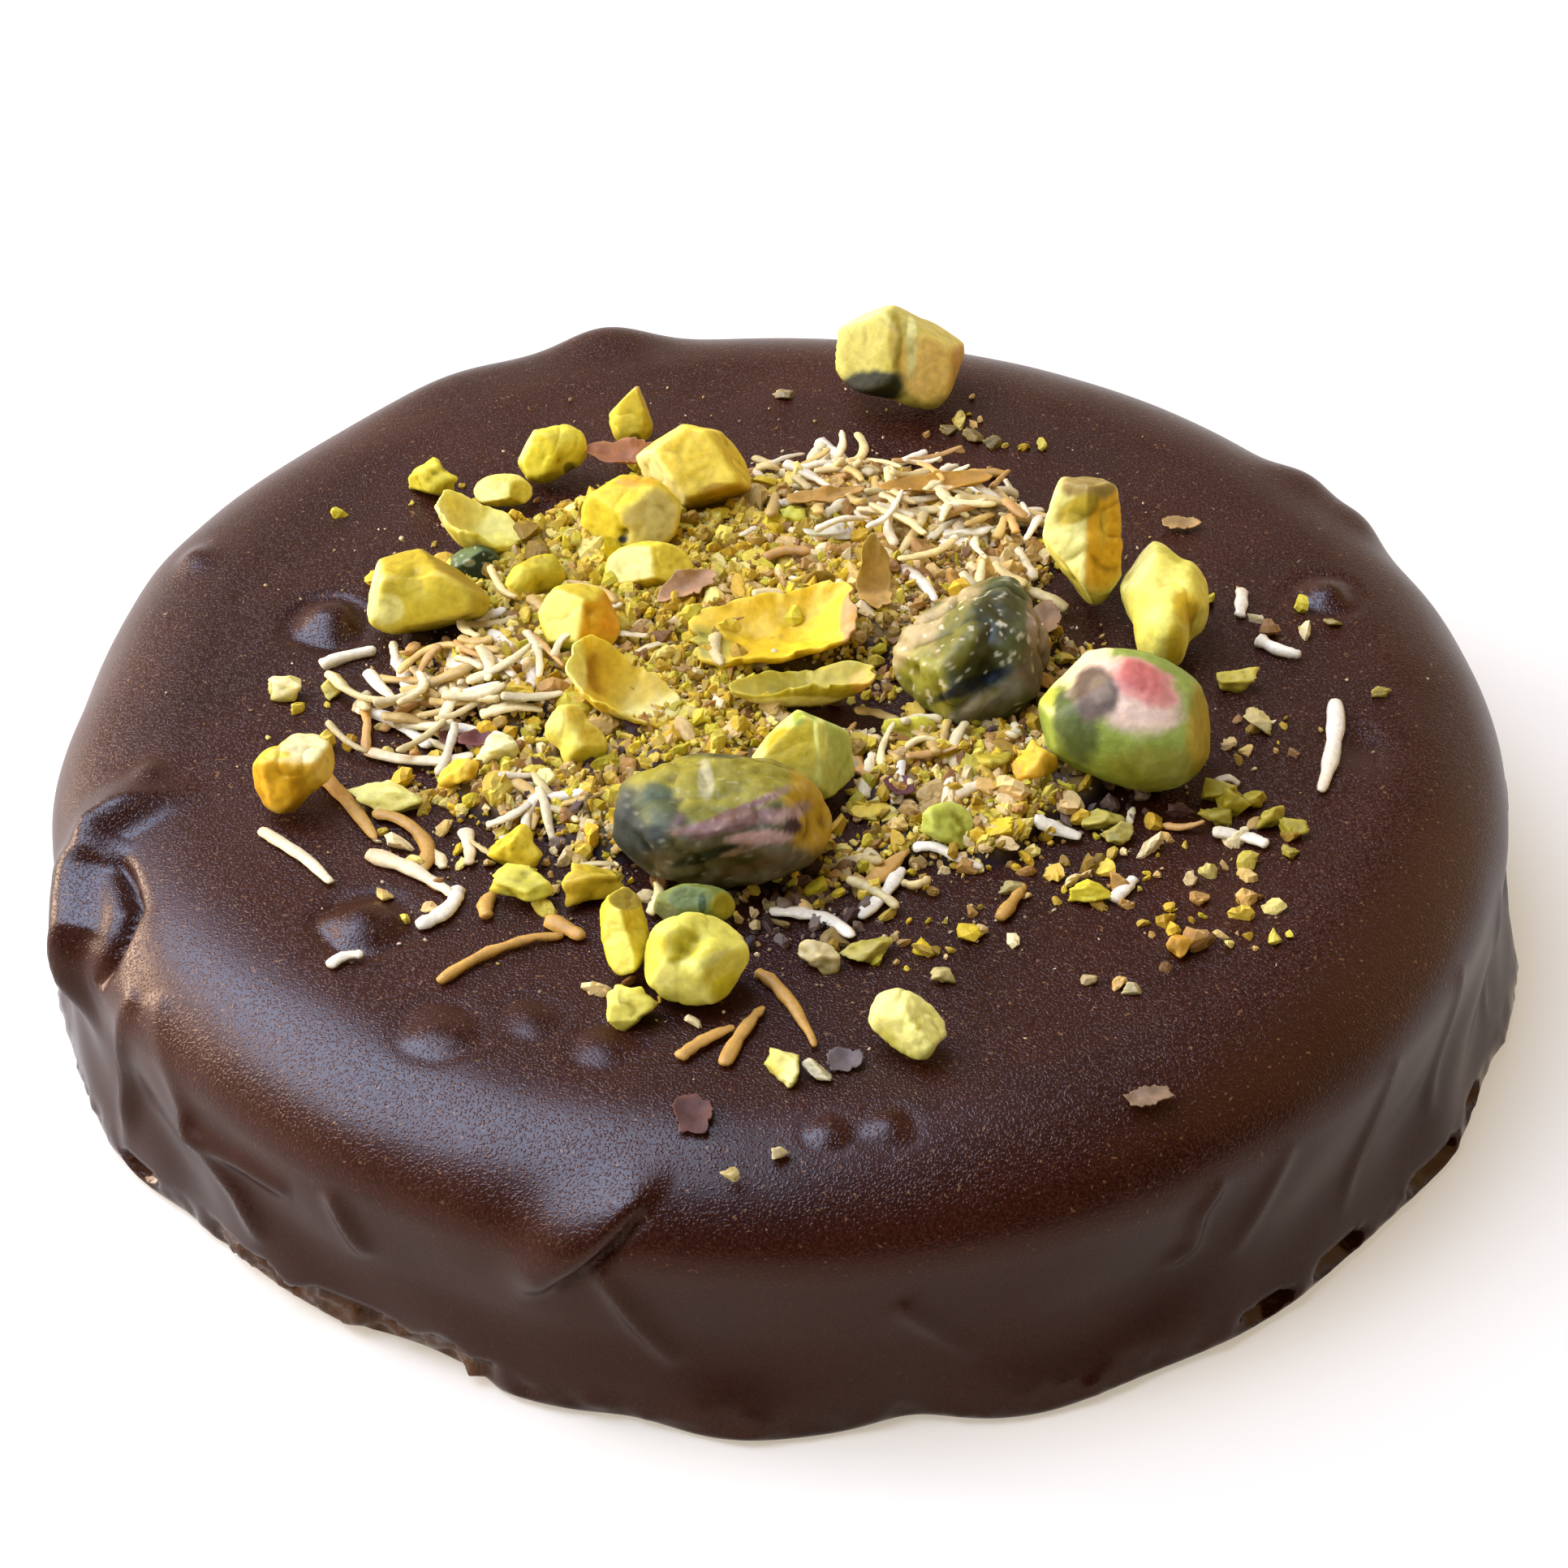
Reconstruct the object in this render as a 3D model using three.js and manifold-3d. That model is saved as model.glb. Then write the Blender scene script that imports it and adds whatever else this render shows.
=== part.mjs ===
// A chocolate-coated alfajor lying flat, topped with chopped pistachios, nut crumbs and pastry threads.
// Millimetres, +Z up, origin at the centre of the underside. Seen from the front, +X is right and +Y is back.
import * as THREE from 'three';
import { mergeVertices } from 'three/addons/utils/BufferGeometryUtils.js';
import Module from 'manifold-3d';

const wasm = await Module();
wasm.setup();

// Driving dimensions of the coated biscuit
const HEIGHT = 15;
const RIM_RADIUS = 40.3;
const FOOT_RADIUS = 41.1;
const FOOT_ROUND = 0.8;
const FOOT_HEIGHT = 3.2;
const FOOT_SKEW = 0.35;
const FOOT_SKEW_ANGLE = -40;
const SHOULDER_REACH = 7.6;
const SHOULDER_DROP = 5.2;
const SHOULDER_STEPS = 6;
const FLAT_TOP_RADIUS = 28;
const INNER_TOP_RADIUS = 14;
const RIDGE_DEPTH = 0.22;
const RIDGE_MIDDLE = 5.5;
const RIDGE_SPAN = 4;
const RIDGE_SLANT = 2.4;
const BODY_SEGMENTS = 84;

// Driving dimensions of the topping
const GAP = 0.3;
const BED_RADIUS = 21.5;
const BED_DEPTH = 1.1;
const BED_EDGE = 0.35;
const BED_LUMPS = 0.16;
const BED_SEGMENTS = 36;
const BED_RINGS = [0.92, 0.74, 0.54, 0.3];
const CRUMB_LIFT = 0.3;
const LOOSE_CRUMB_SINK = 0.2;
const FINE_CRUMBS = 26;
const FINE_CRUMB_SIZE = 1.1;
const FINE_CRUMB_SPREAD = 0.8;
const THREAD_THICKNESS = 1.05;
const THREAD_SIDES = 5;
const THREAD_STEPS = 3;
const THREAD_LIFT = 1;
const THREAD_PILE = 0.3;
const LOOSE_THREAD_LIFT = 0.35;

// How chopped pieces are shaped: rounding of their joins and edges, and the small chips all round them
const VIEW_TILT = THREE.MathUtils.degToRad(39);
const LARGE_PIECE = 6.4;
const LOBE_SHARPNESS = 9;
const EDGE_SHARPNESS = 12;
const LEAST_FACING = 0.05;
const GOLDEN_ANGLE = 2.39996;
const CHIPS = 16;
const CHIP_SHARE = 0.84;
const CHIP_SPREAD = 0.28;
const RIM_BLUNTNESS = 0.6;

const FLESH = 0xd8c23a;
const PALE_FLESH = 0xe3d878;
const GOLDEN_FLESH = 0xc99a20;
const GREEN_SKIN = 0x7d8a2c;
const DARK_SKIN = 0x46491f;

const chocolate = new THREE.MeshStandardMaterial({ color: 0x3a2219, roughness: 0.42, metalness: 0 });
const crumb = new THREE.MeshStandardMaterial({ color: 0xc2ad5c, roughness: 0.8, metalness: 0 });

function nutMaterial(color) {
  return new THREE.MeshStandardMaterial({ color, roughness: 0.6, metalness: 0 });
}

// The wall between foot and shoulder: how far it stands outside the rim, and height.
const WALL = [[0.7, 2.2], [0.1, 4.6], [-0.1, 7.2]];

// Lumps, folds and dents of the coating: centre, direction of the long way, half length, half width, rise.
const COATING_LUMPS = [
  { at: [-10.6, 37.2, 14.3], way: [1, 0.3, 0], length: 3.6, width: 2.6, rise: 1.7 },
  { at: [-19.4, 33.4, 13.8], way: [0.86, 0.5, 0], length: 7, width: 3, rise: 0.9 },
  { at: [31.4, 22.6, 13.6], way: [-0.6, 0.8, 0], length: 2.6, width: 2, rise: 0.8 },
  { at: [34.2, 19.2, 13.2], way: [-0.5, 0.86, 0], length: 2.2, width: 1.8, rise: 0.7 },
  { at: [-33.8, 13.3, 14.6], way: [0, 1, 0], length: 1.8, width: 1.6, rise: 0.5 },
  { at: [-37.4, -11.4, 13.6], way: [0.3, -0.95, 0], length: 5, width: 2.6, rise: 1.2 },
  { at: [-37.8, -16.6, 10.8], way: [0.2, -0.4, -0.9], length: 3.6, width: 2, rise: 0.7 },
  { at: [-33.6, -16, 14.4], way: [0.4, -0.9, 0], length: 3, width: 2, rise: -0.4 },
  { at: [-25.3, 6.3, 15], way: [0, 1, 0], length: 1.9, width: 1.9, rise: 0.7 },
  { at: [-21.3, -19.5, 15], way: [1, 0, 0], length: 2.2, width: 2, rise: 0.5 },
  { at: [31.1, 9, 15], way: [0, 1, 0], length: 2, width: 1.9, rise: 0.5 },
  { at: [31.7, -4.7, 15], way: [0, 1, 0], length: 2.2, width: 1.8, rise: -0.4 },
  { at: [3.6, -34.6, 14.8], way: [1, 0, 0], length: 3, width: 1.8, rise: 0.3 },
  { at: [-8.4, -39.2, 11.4], way: [-0.55, 0, -0.83], length: 4, width: 2.2, rise: 0.8 },
  { at: [-11.6, -38.8, 7.2], way: [-0.6, 0.1, -0.8], length: 4, width: 1.8, rise: -0.5 },
];

// Where the foot runs out or breaks back: angle in degrees, half width in degrees, outward reach.
const FOOT_LOBES = [
  [-93, 6, 0.7], [-71, 6, 0.8], [-80.5, 3.5, -0.7], [-100, 4, -0.5], [-117, 6, -0.8], [-139, 4, -0.7],
  [-150, 6, 0.3], [-55, 9, 0.5], [-31, 5, 0.6], [-12, 6, 0.5], [22, 8, 0.4], [60, 7, -0.4], [84, 9, 0.4],
  [118, 8, 0.3], [146, 7, -0.4], [172, 6, 0.3],
];

// Slanting ridges of the wall: how many go round, where they start in radians, and their share of the depth.
const WALL_RIDGES = [[17, 0.6, 1], [29, 2.1, 0.8]];

// The stretch of the side that is pressed flat: angle and half width in degrees, depth at the top.
const FLAT_STRETCH = { angle: 172, halfWidth: 13, depth: 1.1 };

// Chopped pistachio pieces, each laid at its place on the top and scaled to its size along X, Y and Z.
// Lobes are spheres in the half box: centre and radius. Facets are flat faces: where each looks, across and
// up as seen from the front and above, and how far out it lies as a share. Dents: across, up, spread, depth.
const ROUND = [[0, 0, 0, 1]];
const NUTS = [
  { name: 'pistachio_back_block', at: [7.3, 28.7], size: [7.8, 6.2, 6], color: PALE_FLESH,
    lobes: [[-0.42, 0.1, 0.2, 0.74], [0.42, -0.05, -0.2, 0.72]],
    facets: [[-0.55, 0.05, 0.8], [0.35, -0.25, 0.78], [0.92, -0.2, 0.86], [-0.35, -0.85, 0.72],
      [-0.4, 0.9, 0.9], [0.55, 0.8, 0.72]] },
  { name: 'pistachio_upright_right', at: [17, 8.4], size: [4.5, 6.8, 7.8], color: GOLDEN_FLESH,
    facets: [[-0.48, -0.05, 0.52], [0.62, -0.08, 0.48], [0.1, 0.97, 0.74], [-0.8, -0.6, 0.62], [1, 0.05, 0.8]] },
  { name: 'pistachio_lumpy_right', at: [21.5, 4.6], size: [4.9, 8.3, 4.8], color: PALE_FLESH,
    lobes: [[-0.38, 0.42, 0.1, 0.6], [0.42, 0.02, 0.1, 0.5], [-0.02, -0.5, -0.05, 0.54]],
    facets: [[-0.7, 0.65, 0.86], [0.75, 0.5, 0.8]], dents: [[0.55, -0.5, 0.4, 0.25], [-0.7, -0.05, 0.3, 0.12]] },
  { name: 'pistachio_pink_half', at: [18.5, -6.9], size: [9.2, 8.7, 6.8], color: GREEN_SKIN,
    lobes: [[-0.36, 0.3, 0, 0.74], [0.38, -0.3, -0.05, 0.74], [0, 0, 0.1, 0.84]],
    facets: [[-0.62, 0.68, 0.8], [0.95, 0.1, 0.9]] },
  { name: 'pistachio_dark_back', at: [10.5, -0.5], size: [8.6, 9.2, 6.2], color: DARK_SKIN,
    lobes: [[-0.42, -0.36, -0.05, 0.72], [0.42, 0.36, 0.05, 0.72], [0, 0, 0, 0.7], [0.15, -0.45, -0.3, 0.62]],
    facets: [[-0.5, 0.62, 0.66], [0.12, 0.12, 0.76], [-0.8, -0.4, 0.82], [0.85, 0, 0.82]],
    dents: [[0.25, -0.55, 0.35, 0.3]] },
  { name: 'pistachio_dark_front', at: [-2.9, -14.7], size: [11.4, 8, 5.6], color: DARK_SKIN,
    lobes: [[-0.42, 0, 0, 0.8], [0.42, 0, 0, 0.8], [0, 0, 0, 0.86]],
    facets: [[-0.1, 0.62, 0.74], [0.05, -0.5, 0.72], [-0.85, -0.15, 0.82], [0.75, 0.35, 0.84]] },
  { name: 'pistachio_bright_wedge', at: [1.2, -9], size: [5.7, 4.9, 4.9], color: FLESH,
    lobes: [[-0.3, 0.3, 0.2, 0.7], [0.35, -0.4, -0.3, 0.68]],
    facets: [[-0.35, -0.12, 0.5], [0.85, 0.05, 0.5], [-0.75, 0.6, 0.74], [0.35, 0.93, 0.8]] },
  { name: 'pistachio_pale_block', at: [-11, 3.2], size: [4.5, 3.7, 4.2], color: PALE_FLESH,
    facets: [[-0.45, -0.02, 0.54], [0.5, -0.2, 0.6], [0.15, 0.88, 0.7], [-0.2, -0.92, 0.76], [0.85, 0.4, 0.74]],
    dents: [[0.5, 0.3, 0.3, 0.16]] },
  { name: 'pistachio_left_chunk', at: [-19.5, 6], size: [6.9, 5.3, 4.5], color: FLESH,
    facets: [[-0.12, -0.3, 0.58], [-0.95, 0.2, 0.72], [0.55, 0.83, 0.6], [0.2, -0.96, 0.68], [-0.2, 0.9, 0.72]],
    dents: [[-0.25, 0.45, 0.35, 0.2]] },
  { name: 'pistachio_dark_sliver', at: [-17.1, 9.9], size: [2.9, 1.9, 2.3], color: DARK_SKIN,
    facets: [[0.2, -0.3, 0.6], [-0.4, 0.6, 0.7]] },
  { name: 'pistachio_pale_lump', at: [-16, 17.7], size: [3.4, 2.2, 1.7], color: PALE_FLESH,
    facets: [[-0.3, 0.1, 0.66], [0.6, 0.1, 0.7], [0, -0.9, 0.7]] },
  { name: 'pistachio_back_left', at: [-13.2, 20.2], size: [4.1, 3.2, 3.4], color: FLESH,
    lobes: [[-0.3, -0.1, 0, 0.8], [0.4, 0.3, 0.1, 0.64]],
    facets: [[-0.25, -0.05, 0.66], [-0.85, 0.45, 0.74], [0.3, -0.9, 0.7]], dents: [[0.5, -0.45, 0.3, 0.28]] },
  { name: 'pistachio_back_spike', at: [-8.7, 23.9], size: [2.6, 2.8, 4.2], color: FLESH,
    lobes: [[0, 0, -0.25, 0.85], [0.15, 0.1, 0.5, 0.6]],
    facets: [[-0.72, 0.7, 0.44], [0.95, 0.3, 0.52], [-0.1, -0.35, 0.6]] },
  { name: 'pistachio_back_lump', at: [-4.9, 17.5], size: [6.7, 5.4, 5.4], color: FLESH,
    facets: [[-0.08, 0, 0.62], [0.82, 0.5, 0.66], [0.3, -0.9, 0.74], [-0.78, -0.5, 0.56], [-0.6, 0.78, 0.78],
      [0.2, 0.97, 0.84]] },
  { name: 'pistachio_middle_lump', at: [-8.4, 13.1], size: [5.7, 4.4, 4.4], color: FLESH,
    facets: [[-0.15, 0.5, 0.7], [0.42, -0.15, 0.64], [-0.6, -0.35, 0.66]], dents: [[-0.15, -0.62, 0.16, 0.3]] },
  { name: 'pistachio_flat_lump', at: [-7.3, 9.4], size: [5, 3.3, 2.8], color: FLESH,
    facets: [[-0.3, 0.25, 0.6], [0.45, 0.3, 0.62], [0, -0.85, 0.66]] },
  { name: 'pistachio_bent_stick', at: [-13.7, 8.3], size: [3.5, 2.9, 2.5], color: FLESH,
    lobes: [[-0.42, -0.36, 0, 0.62], [0, 0.1, 0, 0.6], [0.42, 0.34, 0, 0.62]],
    facets: [[-0.55, 0.6, 0.8]], dents: [[0.4, -0.55, 0.5, 0.35]] },
  { name: 'pistachio_golden_outlier', at: [-25.7, -9.8], size: [4.3, 4.1, 3.6], color: GOLDEN_FLESH,
    facets: [[-0.12, -0.3, 0.56], [0.12, 0.82, 0.6], [-0.85, -0.3, 0.76], [0.9, 0.1, 0.78], [0.5, -0.82, 0.66]],
    dents: [[0.35, -0.3, 0.25, 0.15]] },
  { name: 'pistachio_front_stick', at: [-7.8, -22.5], size: [2.5, 5.1, 3.7], color: FLESH,
    facets: [[-0.15, -0.1, 0.7], [0.75, 0.2, 0.76], [0.2, 0.9, 0.8]] },
  { name: 'pistachio_front_chunk', at: [-4.1, -24.8], size: [5.3, 4.5, 4], color: PALE_FLESH,
    lobes: [[-0.34, 0.14, 0.1, 0.76], [0.4, -0.15, -0.1, 0.76]],
    facets: [[-0.05, -0.6, 0.6], [0.5, 0.35, 0.66], [-0.75, 0.35, 0.82]], dents: [[-0.2, 0.22, 0.4, 0.3]] },
  { name: 'pistachio_front_dark', at: [-4.3, -19.9], size: [4.2, 2, 2.4], color: DARK_SKIN,
    facets: [[-0.1, 0.3, 0.64], [0.7, -0.1, 0.7], [-0.6, -0.4, 0.7]] },
  { name: 'pistachio_lone_piece', at: [6.4, -29], size: [3.9, 3.6, 2.8], color: PALE_FLESH,
    lobes: [[-0.38, 0.32, 0.05, 0.7], [0.38, -0.32, -0.05, 0.7], [0, 0, 0, 0.72]],
    facets: [[-0.4, -0.3, 0.74], [0.45, 0.42, 0.7], [0.7, -0.7, 0.88]] },
  { name: 'pistachio_curl_end', at: [-10.8, -6.8], size: [3.4, 3.1, 3.6], color: PALE_FLESH,
    lobes: [[-0.3, 0.3, 0.25, 0.66], [0.3, -0.3, -0.2, 0.72]],
    facets: [[-0.5, 0.1, 0.72], [0.4, 0.5, 0.6], [0.3, -0.75, 0.8]] },
];

// Thin dished shavings of nut, laid and scaled the same way: half length and half width of the sheet, how
// square its outline is, its turn in degrees, rim heights on the right, back, left and front, and thickness.
const SHAVINGS = [
  { name: 'pistachio_yellow_flake', at: [-0.3, 2.9], size: [9.4, 5.8, 3], color: FLESH,
    half: [4.5, 2.9], square: 3.2, turn: 6, rims: [1.9, 1.2, 0.5, 0.6], thick: 0.5 },
  { name: 'pistachio_boat_flake', at: [1.3, -2.1], size: [8, 3.3, 2.4], color: GREEN_SKIN,
    half: [4.2, 1.6], square: 2, turn: 6, rims: [1.4, 0.5, 1, 1.5], thick: 0.45 },
  { name: 'pistachio_curled_shaving', at: [-8.4, -2.8], size: [6.2, 4.9, 4], color: FLESH,
    half: [4, 3.2], square: 2.2, turn: -35, rims: [0.1, 1.4, 4.2, 2.4], thick: 0.6 },
  { name: 'pistachio_left_curl', at: [-17, 12.3], size: [5, 4.4, 3.4], color: FLESH,
    half: [2.6, 2.3], square: 2.2, turn: -20, rims: [0.3, 0.8, 2.2, 1.5], thick: 0.6 },
];

// Crumbs too small to be pieces of their own: place, size along X, Y and Z.
const LARGE_CRUMBS = [
  [-14.1, -14.6, 3, 2.8, 2.2], [-12.7, -17.7, 3.2, 2.2, 1.8], [-9.8, -17.3, 3, 2.2, 2],
  [-20.6, 19.3, 2.8, 2.4, 2.2], [-7.9, -27.2, 2.3, 2.2, 2], [24, -10.3, 3.2, 2.6, 2.2],
  [26.4, -11.8, 2.6, 2.4, 2], [13.6, -8.8, 2.8, 2.2, 2], [8.5, -13.6, 2.8, 2.4, 2],
  [7.2, -4.6, 2.4, 2, 1.8], [16.9, -11.6, 2.4, 2, 1.2], [11.4, -8, 2.2, 2, 1.5],
  [-21.3, -9.6, 2.8, 2, 1.4], [-17, -9, 2, 1.8, 1.5], [-26.8, -0.2, 2, 1.8, 1.4],
  [16.2, -17.6, 2.2, 1.6, 1.3], [-4.1, -34.4, 1.8, 3, 1.2], [0.6, -30.6, 2, 2.2, 1.4],
  [20.6, -21.6, 1.5, 1.6, 1.2], [4.8, -21.9, 2.6, 1.8, 1.2], [18.1, -33.4, 2.4, 1.2, 0.8],
  [23.2, 15.3, 2, 1.2, 0.8],
];

// Pastry threads and slivers: both ends in plan and how far the middle bows aside.
const THREADS = [
  [-23.2, -9.4, -22.3, -13.4, 0.2], [-20.5, -11.8, -17.4, -15.6, -1.6], [-21.6, -14.2, -16.8, -17.6, 0.3],
  [-27.4, -12.2, -23.2, -16.6, 0.3], [-18.6, -20, -16.6, -16.8, -0.6], [-17.2, -24.4, -10.9, -20.6, 0.7],
  [-1.1, -23.6, 1.8, -29.3, 0.5], [-4.9, -30, -2.2, -27.8, 0.2], [-2.7, -30.6, -0.7, -26.2, 0.2],
  [30.6, -1, 28.9, -9.2, 0.3], [26.3, 9.2, 25.9, 6.5, 0], [26.7, 4.4, 29, 2.9, -0.2],
  [22.8, -12.6, 25.7, -13.6, 0.2], [13.4, -12.4, 15.9, -13, 0.1], [-0.5, -18.9, 3.8, -21, 0.8],
  [6.4, -15.4, 4.1, -19.4, 0.3], [7, -14.4, 10.7, -15.4, 0.2], [11.3, -19.6, 12.8, -16.8, 0],
  [17.3, -18, 18.6, -16.1, 0], [-22.8, -23.2, -21.2, -22.5, 0.3], [-12, -19.6, -10, -21, 0.2],
  [2.3, 15.6, 10.3, 17.4, 0.5], [8.6, 13, 15.5, 17, 0.4], [6, 20, 8.8, 23, 0.2], [2.3, 24, 4.3, 21, 0.1],
  [10.4, 21, 12, 18.4, 0], [11, 20.5, 13.4, 20.6, 0.2], [0.8, 10.8, 3.2, 13.2, 0.2],
  [3.7, 13.2, 5.2, 15.3, 0], [9, 11.8, 12, 12.6, 0.2], [6.9, 9.6, 8.8, 6.4, 0.2], [13.3, 12, 14.5, 9.4, 0],
  [-17, 4.6, -15.2, 5.8, 0.2], [-16, 3.6, -14.6, 2.2, 0], [-13.9, 1.2, -13.6, -1.4, 0.2],
  [-18.3, 3.2, -17.3, -1, 0.3], [-21.3, 2.8, -20.2, -1, 0.2], [-23, -1.6, -18.8, -5.2, 0.3],
  [-18.5, -3.8, -14.4, -5.4, 0.4], [-22.2, -5.4, -16.3, -6.6, -0.7], [-25.3, 2.2, -22.4, 3.4, 0.2],
  [-15, -10.4, -13, -9.6, 0], [-16.5, -12.2, -16.2, -15.2, 0.1], [-12.8, -11.2, -10.2, -10.6, 0.2],
  [4.6, -9.6, 5.2, -6.4, 0.1], [6.2, -10.4, 6.6, -7.6, 0], [9.2, -10.8, 11.1, -9.8, 0.2],
];

// Waves of the bed's outline: how many go round, where they start in radians, and how far they reach.
const BED_WAVES = [[1, 0, 2.2], [2, Math.PI / 2, 0.9], [7, 1, 0.8], [11, 0, 0.5]];

// Repeatable number from 0 to 1 for a whole-number key.
function draw(key) {
  const wave = Math.sin(key * 12.9898 + 78.233) * 43758.5453;
  return wave - Math.floor(wave);
}

// Largest of some values with the join rounded, sharper for a larger sharpness.
function smoothMax(values, sharpness) {
  const total = values.reduce((sum, value) => sum + Math.exp(sharpness * value), 0);
  return Math.log(total) / sharpness;
}

function smoothMin(values, sharpness) {
  return -smoothMax(values.map((value) => -value), sharpness);
}

// A bell from 1 at nothing down to about a third at one width away.
function bell(away, width) {
  return Math.exp(-((away / width) ** 2));
}

// Shortest turn from one angle to another, in degrees.
function turnBetween(from, to) {
  return ((to - from + 540) % 360) - 180;
}

// Move every vertex of a geometry by a function from one point to the next.
function reshape(geometry, move) {
  const position = geometry.getAttribute('position');
  const point = new THREE.Vector3();
  for (let index = 0; index < position.count; index += 1) {
    point.fromBufferAttribute(position, index);
    move(point);
    position.setXYZ(index, point.x, point.y, point.z);
  }
  return geometry;
}

// A closed geometry with shared vertices merged and empty triangles dropped, as a solid.
function toSolid(geometry) {
  const bare = geometry.clone();
  bare.deleteAttribute('normal');
  bare.deleteAttribute('uv');
  const merged = mergeVertices(bare, 1e-4);
  const corners = merged.getIndex().array;
  const kept = [];
  for (let index = 0; index < corners.length; index += 3) {
    const [a, b, c] = [corners[index], corners[index + 1], corners[index + 2]];
    if (a !== b && b !== c && c !== a) {
      kept.push(a, b, c);
    }
  }
  return new wasm.Manifold(new wasm.Mesh({
    numProp: 3,
    vertProperties: new Float32Array(merged.getAttribute('position').array),
    triVerts: new Uint32Array(kept),
  }));
}

// The triangles of a solid, as a geometry.
function toGeometry(solid) {
  const mesh = solid.getMesh();
  const geometry = new THREE.BufferGeometry();
  geometry.setAttribute('position', new THREE.BufferAttribute(new Float32Array(mesh.vertProperties), 3));
  geometry.setIndex(new THREE.BufferAttribute(new Uint32Array(mesh.triVerts), 1));
  geometry.computeVertexNormals();
  return geometry;
}

function joined(solids) {
  return solids.reduce((whole, solid) => whole.add(solid));
}

// The largest connected body of a solid, without loose scraps.
function largestBody(solid) {
  const bodies = solid.decompose();
  return bodies.reduce((best, body) => (body.volume() > best.volume() ? body : best));
}

// Side outline of the coated biscuit, from the middle of the underside up to the middle of the top.
function bodyProfile() {
  const points = [[0, 0], [FOOT_RADIUS - FOOT_ROUND, 0], [FOOT_RADIUS, FOOT_ROUND]];
  for (const [outward, z] of WALL) {
    points.push([RIM_RADIUS + outward, z]);
  }
  for (let step = 0; step <= SHOULDER_STEPS; step += 1) {
    const angle = (step / SHOULDER_STEPS) * Math.PI / 2;
    const inward = SHOULDER_REACH * (1 - Math.cos(angle));
    points.push([RIM_RADIUS - inward, HEIGHT - SHOULDER_DROP * (1 - Math.sin(angle))]);
  }
  points.push([FLAT_TOP_RADIUS, HEIGHT], [INNER_TOP_RADIUS, HEIGHT], [0, HEIGHT]);
  return points.map(([radius, z]) => new THREE.Vector2(radius, z));
}

// How far the side stands out from its even round at an angle in degrees and a height.
function sideOffset(angle, z) {
  const nearFoot = bell(z, FOOT_HEIGHT);
  let offset = FOOT_SKEW * nearFoot * Math.cos(THREE.MathUtils.degToRad(angle - FOOT_SKEW_ANGLE));
  for (const [lobeAngle, halfWidth, reach] of FOOT_LOBES) {
    offset += reach * nearFoot * bell(turnBetween(lobeAngle, angle), halfWidth);
  }
  const slant = THREE.MathUtils.degToRad(angle + RIDGE_SLANT * z);
  for (const [count, start, share] of WALL_RIDGES) {
    offset += share * RIDGE_DEPTH * bell(z - RIDGE_MIDDLE, RIDGE_SPAN) * Math.sin(count * slant + start);
  }
  const { angle: flatAngle, halfWidth, depth } = FLAT_STRETCH;
  return offset - depth * bell(turnBetween(flatAngle, angle), halfWidth) * (z / HEIGHT);
}

// Direction straight out of the even coat at one of its points: level on the wall, upright on the top.
function coatNormal(point) {
  const radius = Math.hypot(point.x, point.y);
  const inward = Math.max(radius - (RIM_RADIUS - SHOULDER_REACH), 0) / SHOULDER_REACH;
  const lean = Math.min(inward, 1);
  const upward = point.z > HEIGHT - SHOULDER_DROP ? Math.sqrt(1 - lean * lean) : 0;
  const outward = radius > 0 ? Math.sqrt(1 - upward * upward) / radius : 0;
  return new THREE.Vector3(point.x * outward, point.y * outward, upward);
}

// Even disc to uneven coating: radial offsets on the side, then lumps pushed out from the surface.
function coatingMove(point) {
  const start = point.clone();
  const radius = Math.hypot(point.x, point.y);
  if (radius > FLAT_TOP_RADIUS) {
    const angle = THREE.MathUtils.radToDeg(Math.atan2(point.y, point.x));
    const share = THREE.MathUtils.smoothstep(radius, FLAT_TOP_RADIUS, RIM_RADIUS - 1);
    const stretch = 1 + (share * sideOffset(angle, point.z)) / radius;
    point.x *= stretch;
    point.y *= stretch;
  }
  if (start.z < FOOT_ROUND) {
    return;
  }
  const normal = coatNormal(start);
  for (const lump of COATING_LUMPS) {
    const away = start.clone().sub(new THREE.Vector3(...lump.at));
    const along = away.dot(new THREE.Vector3(...lump.way).normalize());
    const across = Math.sqrt(Math.max(away.lengthSq() - along * along, 0));
    point.addScaledVector(normal, lump.rise * bell(along, lump.length) * bell(across, lump.width));
  }
}

function coatingSolid() {
  const geometry = new THREE.LatheGeometry(bodyProfile(), BODY_SEGMENTS);
  geometry.rotateX(Math.PI / 2);
  return toSolid(reshape(geometry, coatingMove));
}

// Direction from a piece's middle to a spot given across and up, as seen from the front and above.
function looking(across, up) {
  const toward = Math.sqrt(Math.max(1 - across * across - up * up, 0));
  const back = up * Math.sin(VIEW_TILT) - toward * Math.cos(VIEW_TILT);
  const high = up * Math.cos(VIEW_TILT) + toward * Math.sin(VIEW_TILT);
  return new THREE.Vector3(across, back, high).normalize();
}

// Small flat chips all round a piece: directions on a golden spiral, each at its own share of the way out.
function chipFaces(seed) {
  const chips = [];
  for (let number = 0; number < CHIPS; number += 1) {
    const climb = 1 - (2 * number + 1) / CHIPS;
    const turn = number * GOLDEN_ANGLE + seed;
    const level = Math.sqrt(1 - climb * climb);
    const normal = new THREE.Vector3(level * Math.cos(turn), level * Math.sin(turn), climb);
    chips.push({ normal, share: CHIP_SHARE + CHIP_SPREAD * ((number * 0.618 + seed * 0.37) % 1) });
  }
  return chips;
}

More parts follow.
